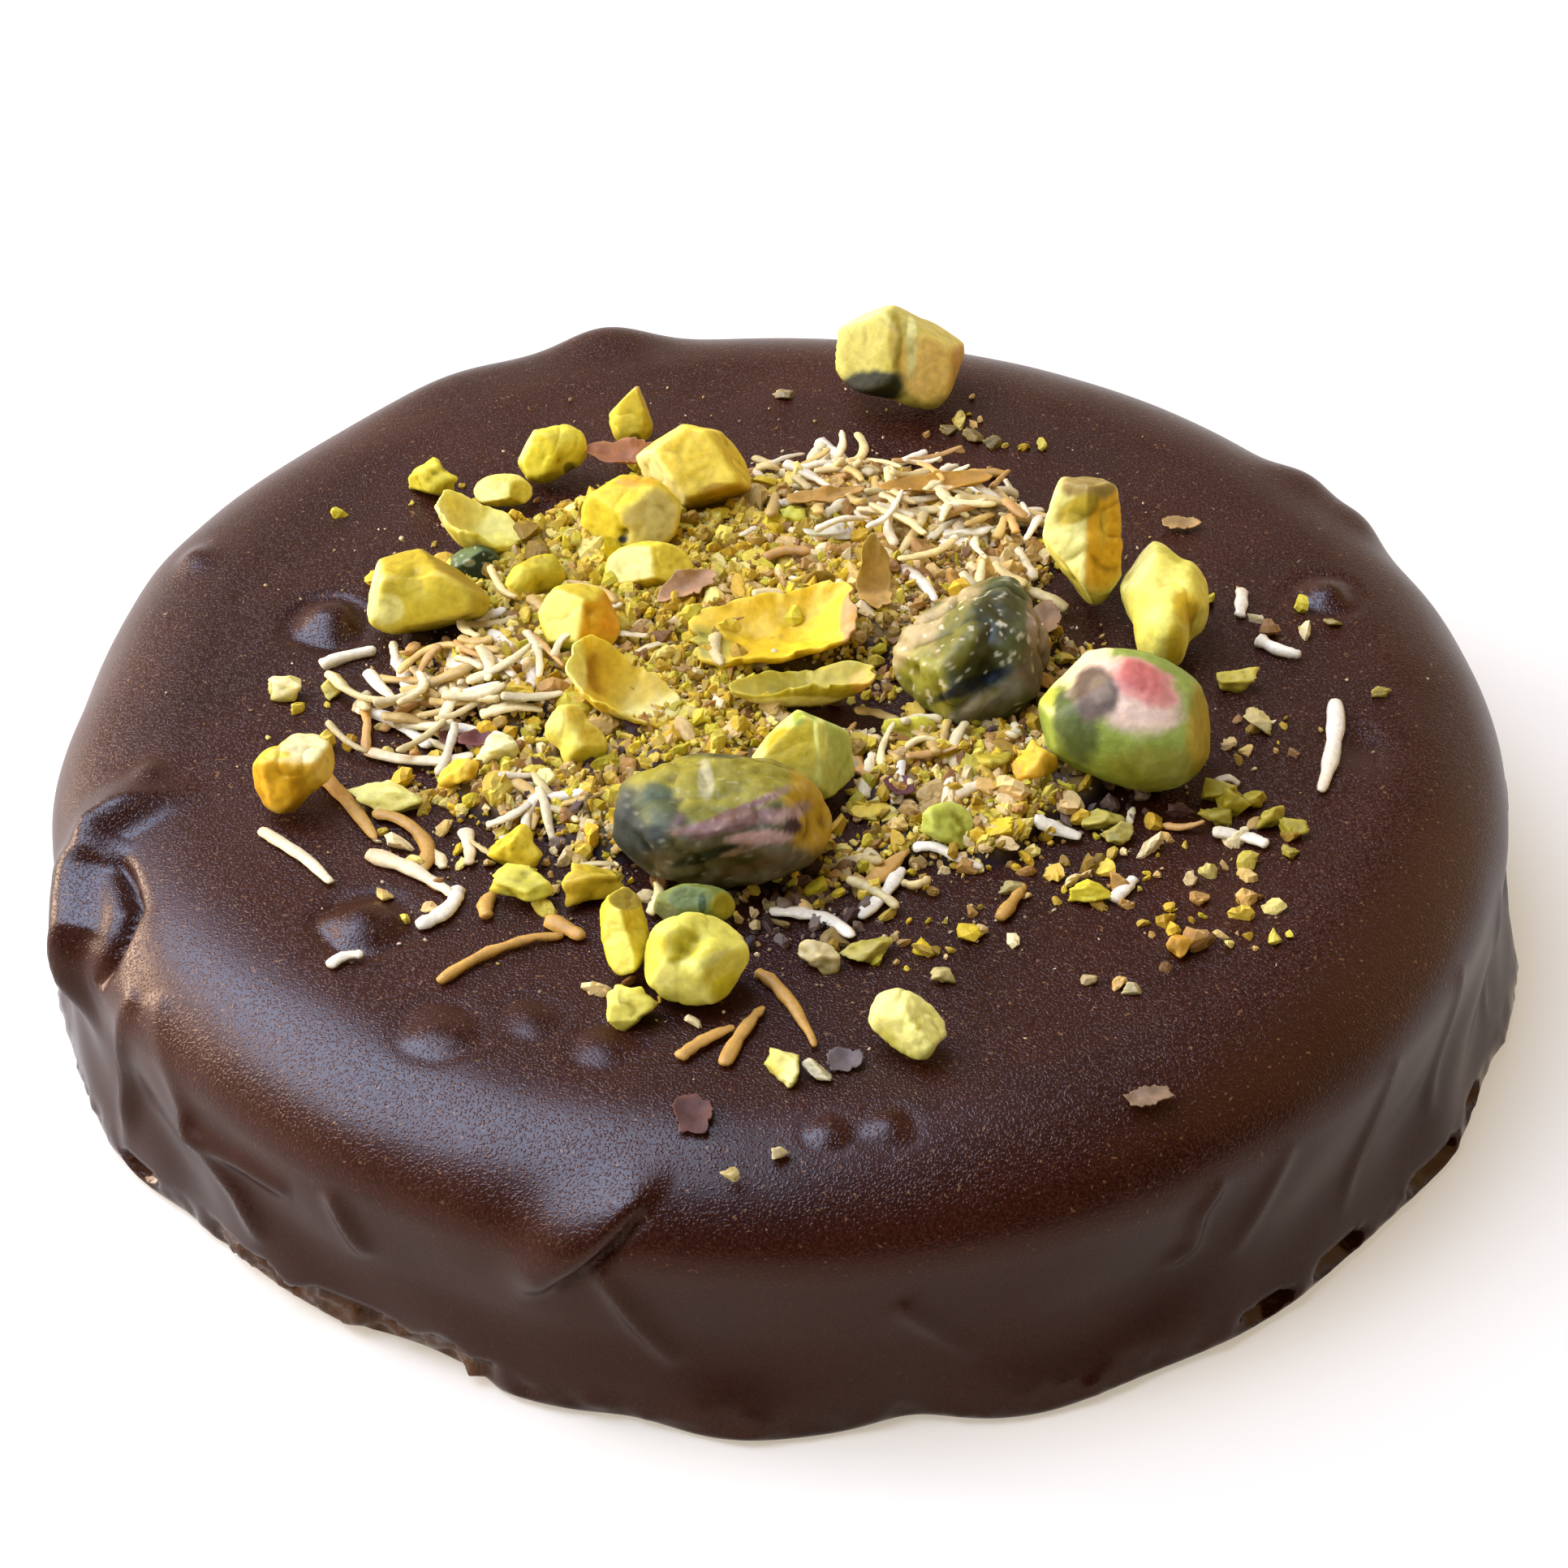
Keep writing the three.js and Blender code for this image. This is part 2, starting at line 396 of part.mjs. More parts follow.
// How far a nut piece reaches in a direction: the farthest lobe stretched to its size, limited by flat faces.
function nutReach(direction, half, lobes, faces) {
  const stretched = direction.clone().divide(half);
  const length = stretched.length();
  const reaches = lobes.map(([x, y, z, radius]) => {
    const centre = new THREE.Vector3(x, y, z);
    const along = stretched.dot(centre) / length;
    return along + Math.sqrt(along * along - centre.lengthSq() + radius * radius);
  });
  const limits = [smoothMax(reaches, LOBE_SHARPNESS) / length];
  for (const { normal, share } of faces) {
    const farthest = normal.clone().multiply(half).length();
    limits.push((share * farthest) / Math.max(direction.dot(normal), LEAST_FACING));
  }
  return smoothMin(limits, EDGE_SHARPNESS);
}

// A chopped piece of nut about its own middle: facets, chips and dents taken off its lobes.
function nutGeometry(nut, seed) {
  const half = new THREE.Vector3(...nut.size).multiplyScalar(0.5);
  const facets = nut.facets.map(([across, up, share]) => ({ normal: looking(across, up), share }));
  const faces = [...facets, ...chipFaces(seed)];
  const detail = Math.max(...nut.size) > LARGE_PIECE ? 2 : 1;
  return reshape(new THREE.IcosahedronGeometry(1, detail), (point) => {
    const direction = point.clone().normalize();
    let reach = nutReach(direction, half, nut.lobes ?? ROUND, faces);
    for (const [across, up, spread, depth] of nut.dents ?? []) {
      reach *= 1 - depth * bell(direction.angleTo(looking(across, up)), spread);
    }
    point.copy(direction).multiplyScalar(reach);
  });
}

// A dished shaving about its own middle: a flattened sphere whose sheet has a rounded-square outline and a rim
// that rises with the square of the way out, to its own height on each side, thickened along its normal.
function shavingGeometry(shaving, thickness) {
  const [halfLength, halfWidth] = shaving.half;
  const [right, back, left, front] = shaving.rims;
  const geometry = new THREE.IcosahedronGeometry(1, 2);
  reshape(geometry, (point) => {
    const out = Math.hypot(point.x, point.y);
    const angle = Math.atan2(point.y, point.x);
    const [cosine, sine] = [Math.cos(angle), Math.sin(angle)];
    const wide = Math.abs(cosine / halfLength) ** shaving.square;
    const deep = Math.abs(sine / halfWidth) ** shaving.square;
    const reach = (wide + deep) ** (-1 / shaving.square);
    const rim = (cosine > 0 ? right : left) * cosine ** 2 + (sine > 0 ? back : front) * sine ** 2;
    const slope = (2 * rim * out) / reach;
    const normal = new THREE.Vector3(-slope * cosine, -slope * sine, 1).normalize();
    const offset = 0.5 * thickness * Math.sign(point.z) * Math.abs(point.z) ** RIM_BLUNTNESS;
    point.set(reach * out * cosine, reach * out * sine, rim * out * out).addScaledVector(normal, offset);
  });
  return geometry.rotateZ(THREE.MathUtils.degToRad(shaving.turn));
}

// Scale a shape to a size along X, Y and Z and lay it at a place, its lowest point at a height.
function layDown(geometry, place, size, height) {
  geometry.computeBoundingBox();
  const middle = geometry.boundingBox.getCenter(new THREE.Vector3());
  const extent = geometry.boundingBox.getSize(new THREE.Vector3());
  geometry.translate(-middle.x, -middle.y, -middle.z);
  geometry.scale(size[0] / extent.x, size[1] / extent.y, size[2] / extent.z);
  geometry.translate(place[0], place[1], height + size[2] / 2);
  return geometry;
}

// A piece of nut laid on the top, grown by a margin where it only keeps its neighbours clear.
function pieceSolid(piece, seed, margin) {
  const shape = piece.facets ? nutGeometry(piece, seed) : shavingGeometry(piece, piece.thick + 2 * margin);
  const size = piece.size.map((length) => length + 2 * margin);
  return toSolid(layDown(shape, piece.at, size, HEIGHT + GAP - margin));
}

// Outline of the crumb bed at an angle: wider at the back, ragged all round.
function bedRadius(angle) {
  return BED_WAVES.reduce((radius, [count, start, reach]) => radius + reach * Math.sin(count * angle + start),
    BED_RADIUS);
}

// Low mound of nut meal, flat underneath and lumpy on top, grown by a margin where it only keeps clear.
function bedCore(margin) {
  const profile = [[0, 0], [1, 0], [1, 1], ...BED_RINGS.map((share) => [share, 1]), [0, 1]];
  const points = profile.map(([share, top]) => new THREE.Vector2(share, top));
  const geometry = new THREE.LatheGeometry(points, BED_SEGMENTS).rotateX(Math.PI / 2);
  return toSolid(reshape(geometry, (point) => {
    const share = Math.hypot(point.x, point.y);
    const angle = Math.atan2(point.y, point.x);
    const radius = share * (bedRadius(angle) + margin);
    const [x, y] = [radius * Math.cos(angle), radius * Math.sin(angle)];
    const onTop = point.z > 0.5;
    const swell = BED_EDGE + (BED_DEPTH - BED_EDGE) * Math.sqrt(Math.max(1 - share ** 4, 0));
    const lumps = share < 0.99 ? BED_LUMPS * Math.sin(1.7 * x + 0.4) * Math.sin(1.9 * y) : 0;
    point.set(x, y, HEIGHT + GAP + (onTop ? swell + lumps + margin : -margin));
  }));
}

function onBed(x, y) {
  return Math.hypot(x, y) < bedRadius(Math.atan2(y, x));
}

// A crumb: a squashed icosahedron with its corners pushed in and out by repeatable draws.
function crumbSolid(key, place, size, height) {
  const geometry = new THREE.IcosahedronGeometry(1, 0);
  reshape(geometry, (point) => {
    const corner = Math.round(37 * point.x + 59 * point.y + 83 * point.z);
    point.multiplyScalar(0.8 + 0.4 * draw(key + corner));
  });
  geometry.rotateZ(2 * Math.PI * draw(key + 7));
  return toSolid(layDown(geometry, place, size, height));
}

// A pastry thread: a round section carried along a bowed path at one height.
function threadSolid([x0, y0, x1, y1, bow], height) {
  const start = new THREE.Vector3(x0, y0, height);
  const end = new THREE.Vector3(x1, y1, height);
  const side = new THREE.Vector3(y0 - y1, x1 - x0, 0).normalize();
  const middle = start.clone().lerp(end, 0.5).addScaledVector(side, 2 * bow);
  const section = new THREE.Shape();
  for (let corner = 0; corner < THREAD_SIDES; corner += 1) {
    const turn = (corner / THREAD_SIDES) * 2 * Math.PI;
    const reach = THREAD_THICKNESS / 2;
    section[corner === 0 ? 'moveTo' : 'lineTo'](reach * Math.cos(turn), reach * Math.sin(turn));
  }
  section.closePath();
  const extrudePath = new THREE.QuadraticBezierCurve3(start, middle, end);
  return toSolid(new THREE.ExtrudeGeometry(section, { steps: THREAD_STEPS, extrudePath, bevelEnabled: false }));
}

// Fine crumbs spread evenly over the bed by the golden angle.
function scatterCrumbs() {
  const crumbs = [];
  for (let index = 0; index < FINE_CRUMBS; index += 1) {
    const angle = index * GOLDEN_ANGLE;
    const radius = Math.sqrt((index + 0.5) / FINE_CRUMBS) * (bedRadius(angle) - FINE_CRUMB_SIZE);
    const size = FINE_CRUMB_SIZE + FINE_CRUMB_SPREAD * draw(index);
    crumbs.push([radius * Math.cos(angle), radius * Math.sin(angle), size, 0.9 * size, 0.8 * size]);
  }
  return crumbs;
}

const alfajor = new THREE.Group();

function addPiece(name, geometry, material) {
  const mesh = new THREE.Mesh(geometry, material);
  mesh.name = name;
  alfajor.add(mesh);
}

// Lay the pistachio pieces first, each cut back where an earlier one leans on it; all else keeps clear of them.
const clearances = [];
for (const [seed, piece] of [...NUTS, ...SHAVINGS].entries()) {
  const solid = clearances.reduce((rest, other) => rest.subtract(other), pieceSolid(piece, seed, 0));
  addPiece(piece.name, toGeometry(largestBody(solid)), nutMaterial(piece.color));
  clearances.push(pieceSolid(piece, seed, GAP));
}

// Small bits belong to the bed where they lie on it, and to the coating elsewhere.
const bedBits = [bedCore(0)];
const looseBits = [];
for (const [index, [x, y, ...size]] of [...LARGE_CRUMBS, ...scatterCrumbs()].entries()) {
  if (onBed(x, y)) {
    bedBits.push(crumbSolid(index * 100, [x, y], size, HEIGHT + GAP + CRUMB_LIFT));
  } else {
    looseBits.push(crumbSolid(index * 100, [x, y], size, HEIGHT - LOOSE_CRUMB_SINK));
  }
}
for (const [index, thread] of THREADS.entries()) {
  const [x0, y0, x1, y1] = thread;
  if (onBed((x0 + x1) / 2, (y0 + y1) / 2)) {
    bedBits.push(threadSolid(thread, HEIGHT + GAP + THREAD_LIFT + THREAD_PILE * draw(index)));
  } else {
    looseBits.push(threadSolid(thread, HEIGHT + LOOSE_THREAD_LIFT));
  }
}

const toppings = joined(clearances);
const bed = largestBody(joined(bedBits).subtract(toppings));
const loose = joined(looseBits).subtract(toppings).subtract(bedCore(GAP));
const body = largestBody(coatingSolid().add(loose));

addPiece('crumb_and_thread_bed', toGeometry(bed), crumb);
addPiece('chocolate_alfajor', toGeometry(body), chocolate);

export default alfajor;
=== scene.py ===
"""Looks of a chocolate-coated alfajor topped with chopped pistachios, nut meal and pastry threads.

Shapes are worked out in millimetres in the part's own frame (+X right, +Y back, +Z up, the underside's
middle at the origin) and become metres only when a mesh is made.
"""
import itertools
import math

import bpy
import numpy as np
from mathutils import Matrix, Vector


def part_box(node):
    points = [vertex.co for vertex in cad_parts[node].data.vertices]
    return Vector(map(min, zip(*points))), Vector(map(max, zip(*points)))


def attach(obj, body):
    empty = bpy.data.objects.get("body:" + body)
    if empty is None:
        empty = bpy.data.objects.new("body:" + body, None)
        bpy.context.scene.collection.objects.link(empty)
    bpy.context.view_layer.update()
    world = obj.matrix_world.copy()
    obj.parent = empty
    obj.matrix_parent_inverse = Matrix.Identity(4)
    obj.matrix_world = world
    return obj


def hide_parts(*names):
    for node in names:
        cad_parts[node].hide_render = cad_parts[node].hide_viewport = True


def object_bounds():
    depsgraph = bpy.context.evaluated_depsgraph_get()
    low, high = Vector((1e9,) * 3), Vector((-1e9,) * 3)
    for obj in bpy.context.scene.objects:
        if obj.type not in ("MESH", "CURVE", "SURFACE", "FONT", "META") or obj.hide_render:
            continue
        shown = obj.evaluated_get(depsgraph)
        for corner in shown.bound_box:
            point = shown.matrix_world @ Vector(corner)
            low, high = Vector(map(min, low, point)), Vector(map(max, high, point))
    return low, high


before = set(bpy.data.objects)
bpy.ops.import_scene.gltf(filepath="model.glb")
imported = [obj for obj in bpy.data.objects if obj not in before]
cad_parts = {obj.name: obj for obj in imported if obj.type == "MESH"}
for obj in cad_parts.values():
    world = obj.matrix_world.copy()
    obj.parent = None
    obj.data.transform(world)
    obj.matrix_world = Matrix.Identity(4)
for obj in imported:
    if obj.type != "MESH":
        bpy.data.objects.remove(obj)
cad_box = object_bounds()

# Driving dimensions of the coated biscuit, in millimetres
MM = 0.001
HEIGHT = 15.0
RIM_RADIUS = 40.3
FOOT_RADIUS = 41.1
FOOT_ROUND = 0.8
SHOULDER_REACH = 7.6
SHOULDER_DROP = 5.2
FLAT_TOP_RADIUS = 28.0
RIDGE_DEPTH = 0.13
COAT_COLUMNS = 740

# Driving dimensions of the topping, in millimetres
BED_RADIUS = 21.5
BED_COLUMNS = 400
BED_DEPTH = 0.95
NUT_GRID = (73, 108)
BIT_GRID = (29, 42)
NUT_CHIPPING = (0.86, 0.26)
SHAVING_LIFT = 0.45
LOBE_SHARPNESS = 6.0
EDGE_SHARPNESS = 10.0
CHIPS = 16
GOLDEN_ANGLE = 2.39996
CAMERA_ELEVATION = math.radians(39)

# Colours of the real things
PALE = "#e6de82"
FLESH = "#d8c02a"
LIME = "#bcc350"
OLIVE = "#a3931f"
CREAM = "#e6d8b6"
TAN = "#b08d55"
TOAST = "#be9348"
WHITE = "#ece4d0"
COCOA = "#2b1912"

# Lumps, folds and dents of the coating: centre, direction of the long way, half length, half width, rise.
COAT_LUMPS = [
    ((-10.6, 37.2, 14.3), (1, 0.3, 0), 3.6, 2.6, 1.7),
    ((-19.4, 33.4, 13.8), (0.86, 0.5, 0), 7, 3, 0.9),
    ((31.4, 22.6, 13.6), (-0.6, 0.8, 0), 2.6, 2, 0.8),
    ((34.2, 19.2, 13.2), (-0.5, 0.86, 0), 2.2, 1.8, 0.7),
    ((-33.8, 13.3, 14.6), (0, 1, 0), 1.3, 1.1, 0.5),
    ((-33.9, -7.1, 14.8), (0, 1, 0), 0.9, 0.7, 0.35),
    ((-36, -10.7, 13.8), (0, 1, 0), 0.8, 0.7, 0.3),
    ((-37.8, -16.6, 10.8), (0.2, -0.4, -0.9), 3.6, 2, 0.6),
    ((31.7, -4.7, 15), (0, 1, 0), 1.8, 1.3, -0.3),
    ((-10.6, -38.4, 11), (-0.6, 0.1, -0.8), 3, 1.7, 0.5),
]

# Folds and creases of the coating: places along the line as angle in degrees and height, half width, rise.
COAT_FOLDS = [
    ([(-159.7, 13.9), (-156.9, 13.9), (-153.4, 13.7), (-152, 12.9), (-151.3, 11.8), (-151.7, 10.3)],
     0.55, -1.3),
    ([(-99.6, 12.8), (-102, 10.9), (-105.6, 8.4)], 0.35, -0.9),
    ([(-146.9, 12.2), (-147.4, 7), (-147, 1.5)], 0.9, 0.8),
    ([(-144.7, 12.8), (-137.5, 7.7), (-131.9, 8), (-127.6, 7.8)], 0.85, 0.6),
    ([(-139.2, 8.2), (-132.8, 5.8), (-130.1, 3.6)], 0.8, 0.55),
    ([(-123.7, 9.7), (-120.7, 6.1)], 0.75, 0.5),
    ([(-102.6, 9.9), (-99.3, 6.2), (-97, 4.1)], 0.7, 0.6),
    ([(-81.6, 8.2), (-80.7, 7.3), (-76.3, 4)], 0.7, 0.45),
    ([(-56.6, 10.3), (-58.6, 8.9), (-59.2, 6.8), (-61.4, 5.9)], 0.6, 0.5),
    ([(-50, 10.2), (-56, 5)], 0.7, 0.3), ([(-38, 10.5), (-45, 3)], 0.6, 0.35),
    ([(-27, 11), (-33, 4)], 0.7, 0.35), ([(-16, 10), (-20, 3)], 0.6, 0.3), ([(-2, 10), (-6, 3)], 0.7, 0.35),
    ([(14, 10), (9, 2)], 0.6, 0.35), ([(33, 9), (39, 2)], 0.7, 0.35), ([(55, 10), (49, 3)], 0.6, 0.4),
    ([(80, 9), (88, 3)], 0.6, 0.35), ([(104, 10), (98, 4)], 0.7, 0.35), ([(128, 9), (134, 2)], 0.6, 0.4),
    ([(150, 10), (146, 3)], 0.7, 0.35), ([(168, 9), (172, 3)], 0.6, 0.35),
]

# Ledges where one pour of coating stops over another: places along the edge with the upper pour on the right
# hand, height of the step, how far the upper pour slopes back, and the width of the step's own face.
COAT_LEDGES = [([(-163.8, 14.3), (-163.4, 13.9), (-161.9, 13.4), (-161.4, 12.7), (-159.5, 12.1),
                 (-156.9, 11.5), (-155.7, 9.3)], 1.4, 2.3, 1.7),
                ([(-100.4, 12.7), (-102.6, 11), (-106, 8.7)], 0.65, 1.6, 0.6)]

# Blisters where air rose through the coating: place, radius, rise.
BLISTERS = [(-25.3, 6.3, 2.0, 0.9), (-21.3, -19.5, 2.1, 0.75), (31.1, 9, 1.7, 0.55), (2.4, -34.8, 1.0, 0.2),
            (5.4, -34.4, 1.2, 0.22), (-8.8, -28.9, 1.6, 0.25), (-17, -27.7, 1.8, 0.3), (-12.4, -27, 1.4, 0.2)]

# Where the foot runs out or breaks back: angle in degrees, half width in degrees, outward reach.
FOOT_LOBES = [
    (-93, 6, 0.7), (-71, 6, 0.8), (-80.5, 3.5, -0.7), (-100, 4, -0.5), (-117, 6, -0.8), (-139, 4, -0.7),
    (-150, 6, 0.3), (-55, 9, 0.5), (-31, 5, 0.6), (-12, 6, 0.5), (22, 8, 0.4), (60, 7, -0.4), (84, 9, 0.4),
    (118, 8, 0.3), (146, 7, -0.4), (172, 6, 0.3),
]

# Dark slits just above the foot's rim: angle in degrees, half width in degrees, half height, depth.
FOOT_GAPS = [(-53, 2.4, 0.45, 0.8), (-45.6, 2.8, 0.55, 0.9), (-33.6, 3.4, 0.6, 1.0), (-26, 2, 0.5, 0.8),
             (-145.5, 2, 0.6, 0.7), (12, 2.6, 0.5, 0.7), (70, 2.8, 0.55, 0.8), (133, 2.4, 0.5, 0.7)]

# The stretch of foot where the coat is broken off and crumbly biscuit shows: middle angle and half width in
# degrees, and height.
BARE_STRIP = (-123.5, 14, 2.1)

# Pistachio pieces. Lobes: centre and radius as shares of the half box, one round body where none are given.
# Facets: where the flat face looks in the picture (across, up), how far out it lies as a share, and its
# colour. Dents: across, up, spread, depth. Patches of skin or stain, and a few of painted shade: across, up,
# half width, half height, a shear where the patch is slanted, and colour. Flesh is the colour of the rest,
# rough how uneven the surface is, and specks how strongly pale flecks show.
ROUND = [(0, 0, 0, 1)]
NUTS = {
    "back_block": dict(
        lobes=[(-0.42, 0.06, 0.1, 0.74), (0.4, -0.05, -0.12, 0.74)],
        facets=[(-0.6, 0.0, 0.6, "#b3aa52"), (0.3, -0.2, 0.56, "#ecca6c"), (0.95, -0.15, 0.76, "#cf9f28"),
                (-0.35, -0.85, 0.82, "#302e08"), (-0.4, 0.9, 0.84, "#d8d47e"),
                (0.5, 0.82, 0.6, "#cdbb56")],
        patches=[(-0.1, 0.25, 0.1, 0.55, "#a08c26"), (-0.45, -0.6, 0.5, 0.3, "#2a2804"),
                 (0.15, 0.12, 0.08, 0.6, 0.4, "#dfd88a")],
        flesh="#b9ad54", rough=0.35),
    "upright_right": dict(
        facets=[(-0.48, -0.05, 0.6, "#d9d37e"), (0.62, -0.08, 0.56, "#dcaa1c"),
                (0.1, 0.97, 0.82, "#9a8448"), (-0.8, -0.6, 0.62, "#ded46a"), (1, 0.05, 0.8, "#b98d12")],
        dents=[(0.1, 0.25, 0.35, 0.16)],
        patches=[(0.1, 0.8, 0.7, 0.2, "#96803c"), (-0.2, 0.45, 0.5, 0.2, 0.3, "#b09a24"),
                 (0.45, 0.1, 0.1, 0.3, "#d8b030")],
        flesh=PALE, rough=0.9),
    "lumpy_right": dict(
        lobes=[(-0.34, 0.42, 0.1, 0.66), (0.4, 0.06, 0.1, 0.56), (-0.16, -0.5, -0.05, 0.6),
               (0, 0, 0, 0.5)],
        facets=[(-0.7, 0.65, 0.86, "#e9e28c"), (0.75, 0.5, 0.8, "#d9c93c")],
        dents=[(0.55, -0.5, 0.4, 0.25), (-0.7, -0.05, 0.3, 0.12)],
        patches=[(0.35, -0.05, 0.3, 0.25, "#cfae1a"), (0.1, -0.6, 0.22, 0.3, "#cdb51e")],
        flesh="#e2d660"),
    "pink_half": dict(
        lobes=[(-0.36, 0.3, 0, 0.74), (0.38, -0.3, -0.05, 0.74), (0, 0, 0.1, 0.84)],
        facets=[(-0.62, 0.68, 0.8, "#e0da8a"), (0.95, 0.1, 0.9, "#a3911a")],
        patches=[(0.3, -0.7, 0.6, 0.3, "#8a8c30"), (0.85, -0.25, 0.2, 0.45, "#a8941e"),
                 (-0.88, 0.4, 0.14, 0.24, "#b9bd3c"), (-0.55, 0.76, 0.42, 0.16, 0.6, "#e6e092"),
                 (-0.62, -0.05, 0.24, 0.5, -0.5, "#4c5620"), (-0.05, 0.35, 0.58, 0.5, -0.3, "#d2b8a6"),
                 (0.16, 0.5, 0.36, 0.3, -0.4, "#c78478"), (0.14, 0.56, 0.24, 0.22, -0.4, "#b8665c"),
                 (-0.4, 0.34, 0.24, 0.4, "#5e4c3a"), (-0.34, 0.42, 0.12, 0.2, "#76644e")],
        flesh="#86953a", rough=0.35),
    "dark_back": dict(
        lobes=[(-0.42, -0.36, -0.05, 0.72), (0.42, 0.36, 0.05, 0.72), (0, 0, 0, 0.7),
               (0.15, -0.45, -0.3, 0.62)],
        facets=[(-0.5, 0.62, 0.66, "#a89468"), (0.12, 0.12, 0.76, "#383d14"),
                (-0.8, -0.4, 0.82, "#928a2c"), (0.85, 0, 0.82, "#6d5c4c")],
        dents=[(0.25, -0.55, 0.35, 0.3)],
        patches=[(-0.45, 0.35, 0.6, 0.22, 0.9, "#a8966a"), (0.12, 0.33, 0.44, 0.4, 0.6, "#443f10"),
                 (-0.2, 0.2, 0.26, 0.4, 0.6, "#6f6a1e"), (-0.62, -0.35, 0.25, 0.4, "#7f7c22"),
                 (0.82, 0.4, 0.14, 0.38, "#8f7a68"), (0.15, -0.72, 0.5, 0.24, 0.5, "#6a6252"),
                 # Last patch below, near black: a painted shadow along the hollow under the piece.
                 (0.12, -0.62, 0.25, 0.07, 0.5, "#938b74"), (0.0, -0.42, 0.55, 0.1, 0.4, "#100d06")],
        specks=0.7, flesh="#4c5020", rough=1.5),
    "dark_front": dict(
        facets=[(-0.1, 0.7, 0.84, "#77721c"), (0.05, -0.6, 0.86, "#4a4226"),
                (-0.82, -0.2, 0.86, "#2a311c"), (0.78, 0.3, 0.86, "#a0851a")],
        dents=[(0.1, -0.7, 0.5, 0.14), (-0.55, -0.5, 0.35, 0.1)],
        patches=[(-0.3, 0.6, 0.5, 0.36, "#8f8620"), (0.3, 0.62, 0.5, 0.36, "#857c18"),
                 (0.82, 0.22, 0.24, 0.7, "#a8860c"), (-0.8, -0.2, 0.28, 0.6, "#1d2216"),
                 (0.1, -0.66, 0.85, 0.36, "#564c2c"), (0.35, -0.62, 0.4, 0.08, 0.5, "#5c4a2c"),
                 (-0.15, 0.6, 0.07, 0.3, -0.9, "#a39c70"), (-0.41, 0.04, 0.1, 0.12, "#4a3418"),
                 (0.15, 0.0, 0.56, 0.11, 0.28, "#7c5c52"), (0.36, -0.24, 0.3, 0.11, 0.1, "#a5837a"),
                 (0.41, 0.34, 0.22, 0.06, 0.7, "#97786a"), (0.64, 0.12, 0.18, 0.1, 0.7, "#a0847a"),
                 (0.02, -0.14, 0.35, 0.04, 0.4, "#5c3f34"), (0.63, -0.08, 0.09, 0.12, "#3d2320"),
                 (-0.15, -0.5, 0.3, 0.08, 0.5, "#2a2c16"), (0.2, 0.2, 0.3, 0.05, 0.6, "#6a4a3c"),
                 (-0.6, 0.25, 0.2, 0.3, "#4e5226"), (0.2, -0.4, 0.2, 0.05, 0.5, "#8a7268")],
        specks=0.2, flesh="#46441a", rough=1.2),
    "bright_wedge": dict(
        facets=[(-0.35, 0.05, 0.46, "#a8990a"), (0.85, 0.05, 0.46, "#cad47c"),
                (-0.75, 0.62, 0.56, "#dfdc78"), (0.42, 0.9, 0.7, "#a3b04a")],
        patches=[(-0.25, 0.2, 0.4, 0.4, "#a89604"), (0.75, 0.3, 0.22, 0.6, -0.5, "#b8c664"),
                 (0.62, -0.55, 0.3, 0.35, "#d0d884"), (0.36, 0.4, 0.12, 0.5, -1.5, "#dfe07a"),
                 (-0.06, 0.8, 0.1, 0.16, "#8c9a2c")],
        flesh="#d3d05a", rough=0.4),
    "pale_block": dict(
        facets=[(-0.45, -0.02, 0.54, "#ece67c"), (0.5, -0.2, 0.6, "#e8b528"),
                (0.15, 0.88, 0.7, "#cdb62e"), (-0.2, -0.92, 0.76, "#b7b83c"),
                (0.85, 0.4, 0.74, "#dca21a")],
        dents=[(0.5, 0.3, 0.3, 0.16)],
        patches=[(0.8, -0.1, 0.24, 0.3, "#eaac2c")],
        flesh="#e0cb44", rough=0.5),
    "left_chunk": dict(
        facets=[(-0.12, -0.3, 0.58, "#c4b02c"), (-0.95, 0.2, 0.72, "#e6df86"),
                (0.55, 0.83, 0.6, "#a58908"), (0.2, -0.96, 0.68, "#b8ab3e"),
                (-0.2, 0.9, 0.72, "#b39d10")],
        dents=[(-0.15, 0.55, 0.45, 0.26)],
        patches=[(-0.7, -0.42, 0.3, 0.32, "#e6e08a"), (-0.25, 0.4, 0.22, 0.12, "#b09a10")],
        flesh="#b5a324", rough=0.5),
    "dark_sliver": dict(
        facets=[(0.2, -0.3, 0.6, "#2f3a1c"), (-0.4, 0.6, 0.7, "#5d6a2e")],
        patches=[(-0.25, 0.1, 0.25, 0.2, "#8a8d6c")],
        specks=0.4, flesh="#424c22"),
    "pale_lump": dict(
        facets=[(-0.3, 0.1, 0.66, "#e8e08c"), (0.6, 0.1, 0.7, "#d9c844"), (0, -0.9, 0.7, "#d8c23c")],
        flesh="#e2d670"),
    "back_left": dict(
        lobes=[(-0.3, -0.1, 0, 0.8), (0.4, 0.3, 0.1, 0.64)],
        facets=[(-0.25, -0.05, 0.66, "#d2c226"), (-0.85, 0.45, 0.74, "#e2da72"),
                (0.3, -0.9, 0.7, "#a1942a")],
        dents=[(0.5, -0.45, 0.3, 0.28)],
        patches=[(0.5, -0.5, 0.18, 0.2, "#6d6a20")],
        flesh="#d6c83c"),
    "back_spike": dict(
        lobes=[(0, 0, -0.25, 0.85), (0.15, 0.1, 0.5, 0.6)],
        facets=[(-0.72, 0.7, 0.44, "#e0d258"), (0.95, 0.3, 0.52, "#cfb930"),
                (-0.1, -0.35, 0.6, "#dccb48")],
        patches=[(0.15, 0.92, 0.3, 0.12, "#d6b26a"), (0.2, -0.75, 0.25, 0.16, "#8a8126")],
        flesh="#dac742"),
    "back_lump": dict(
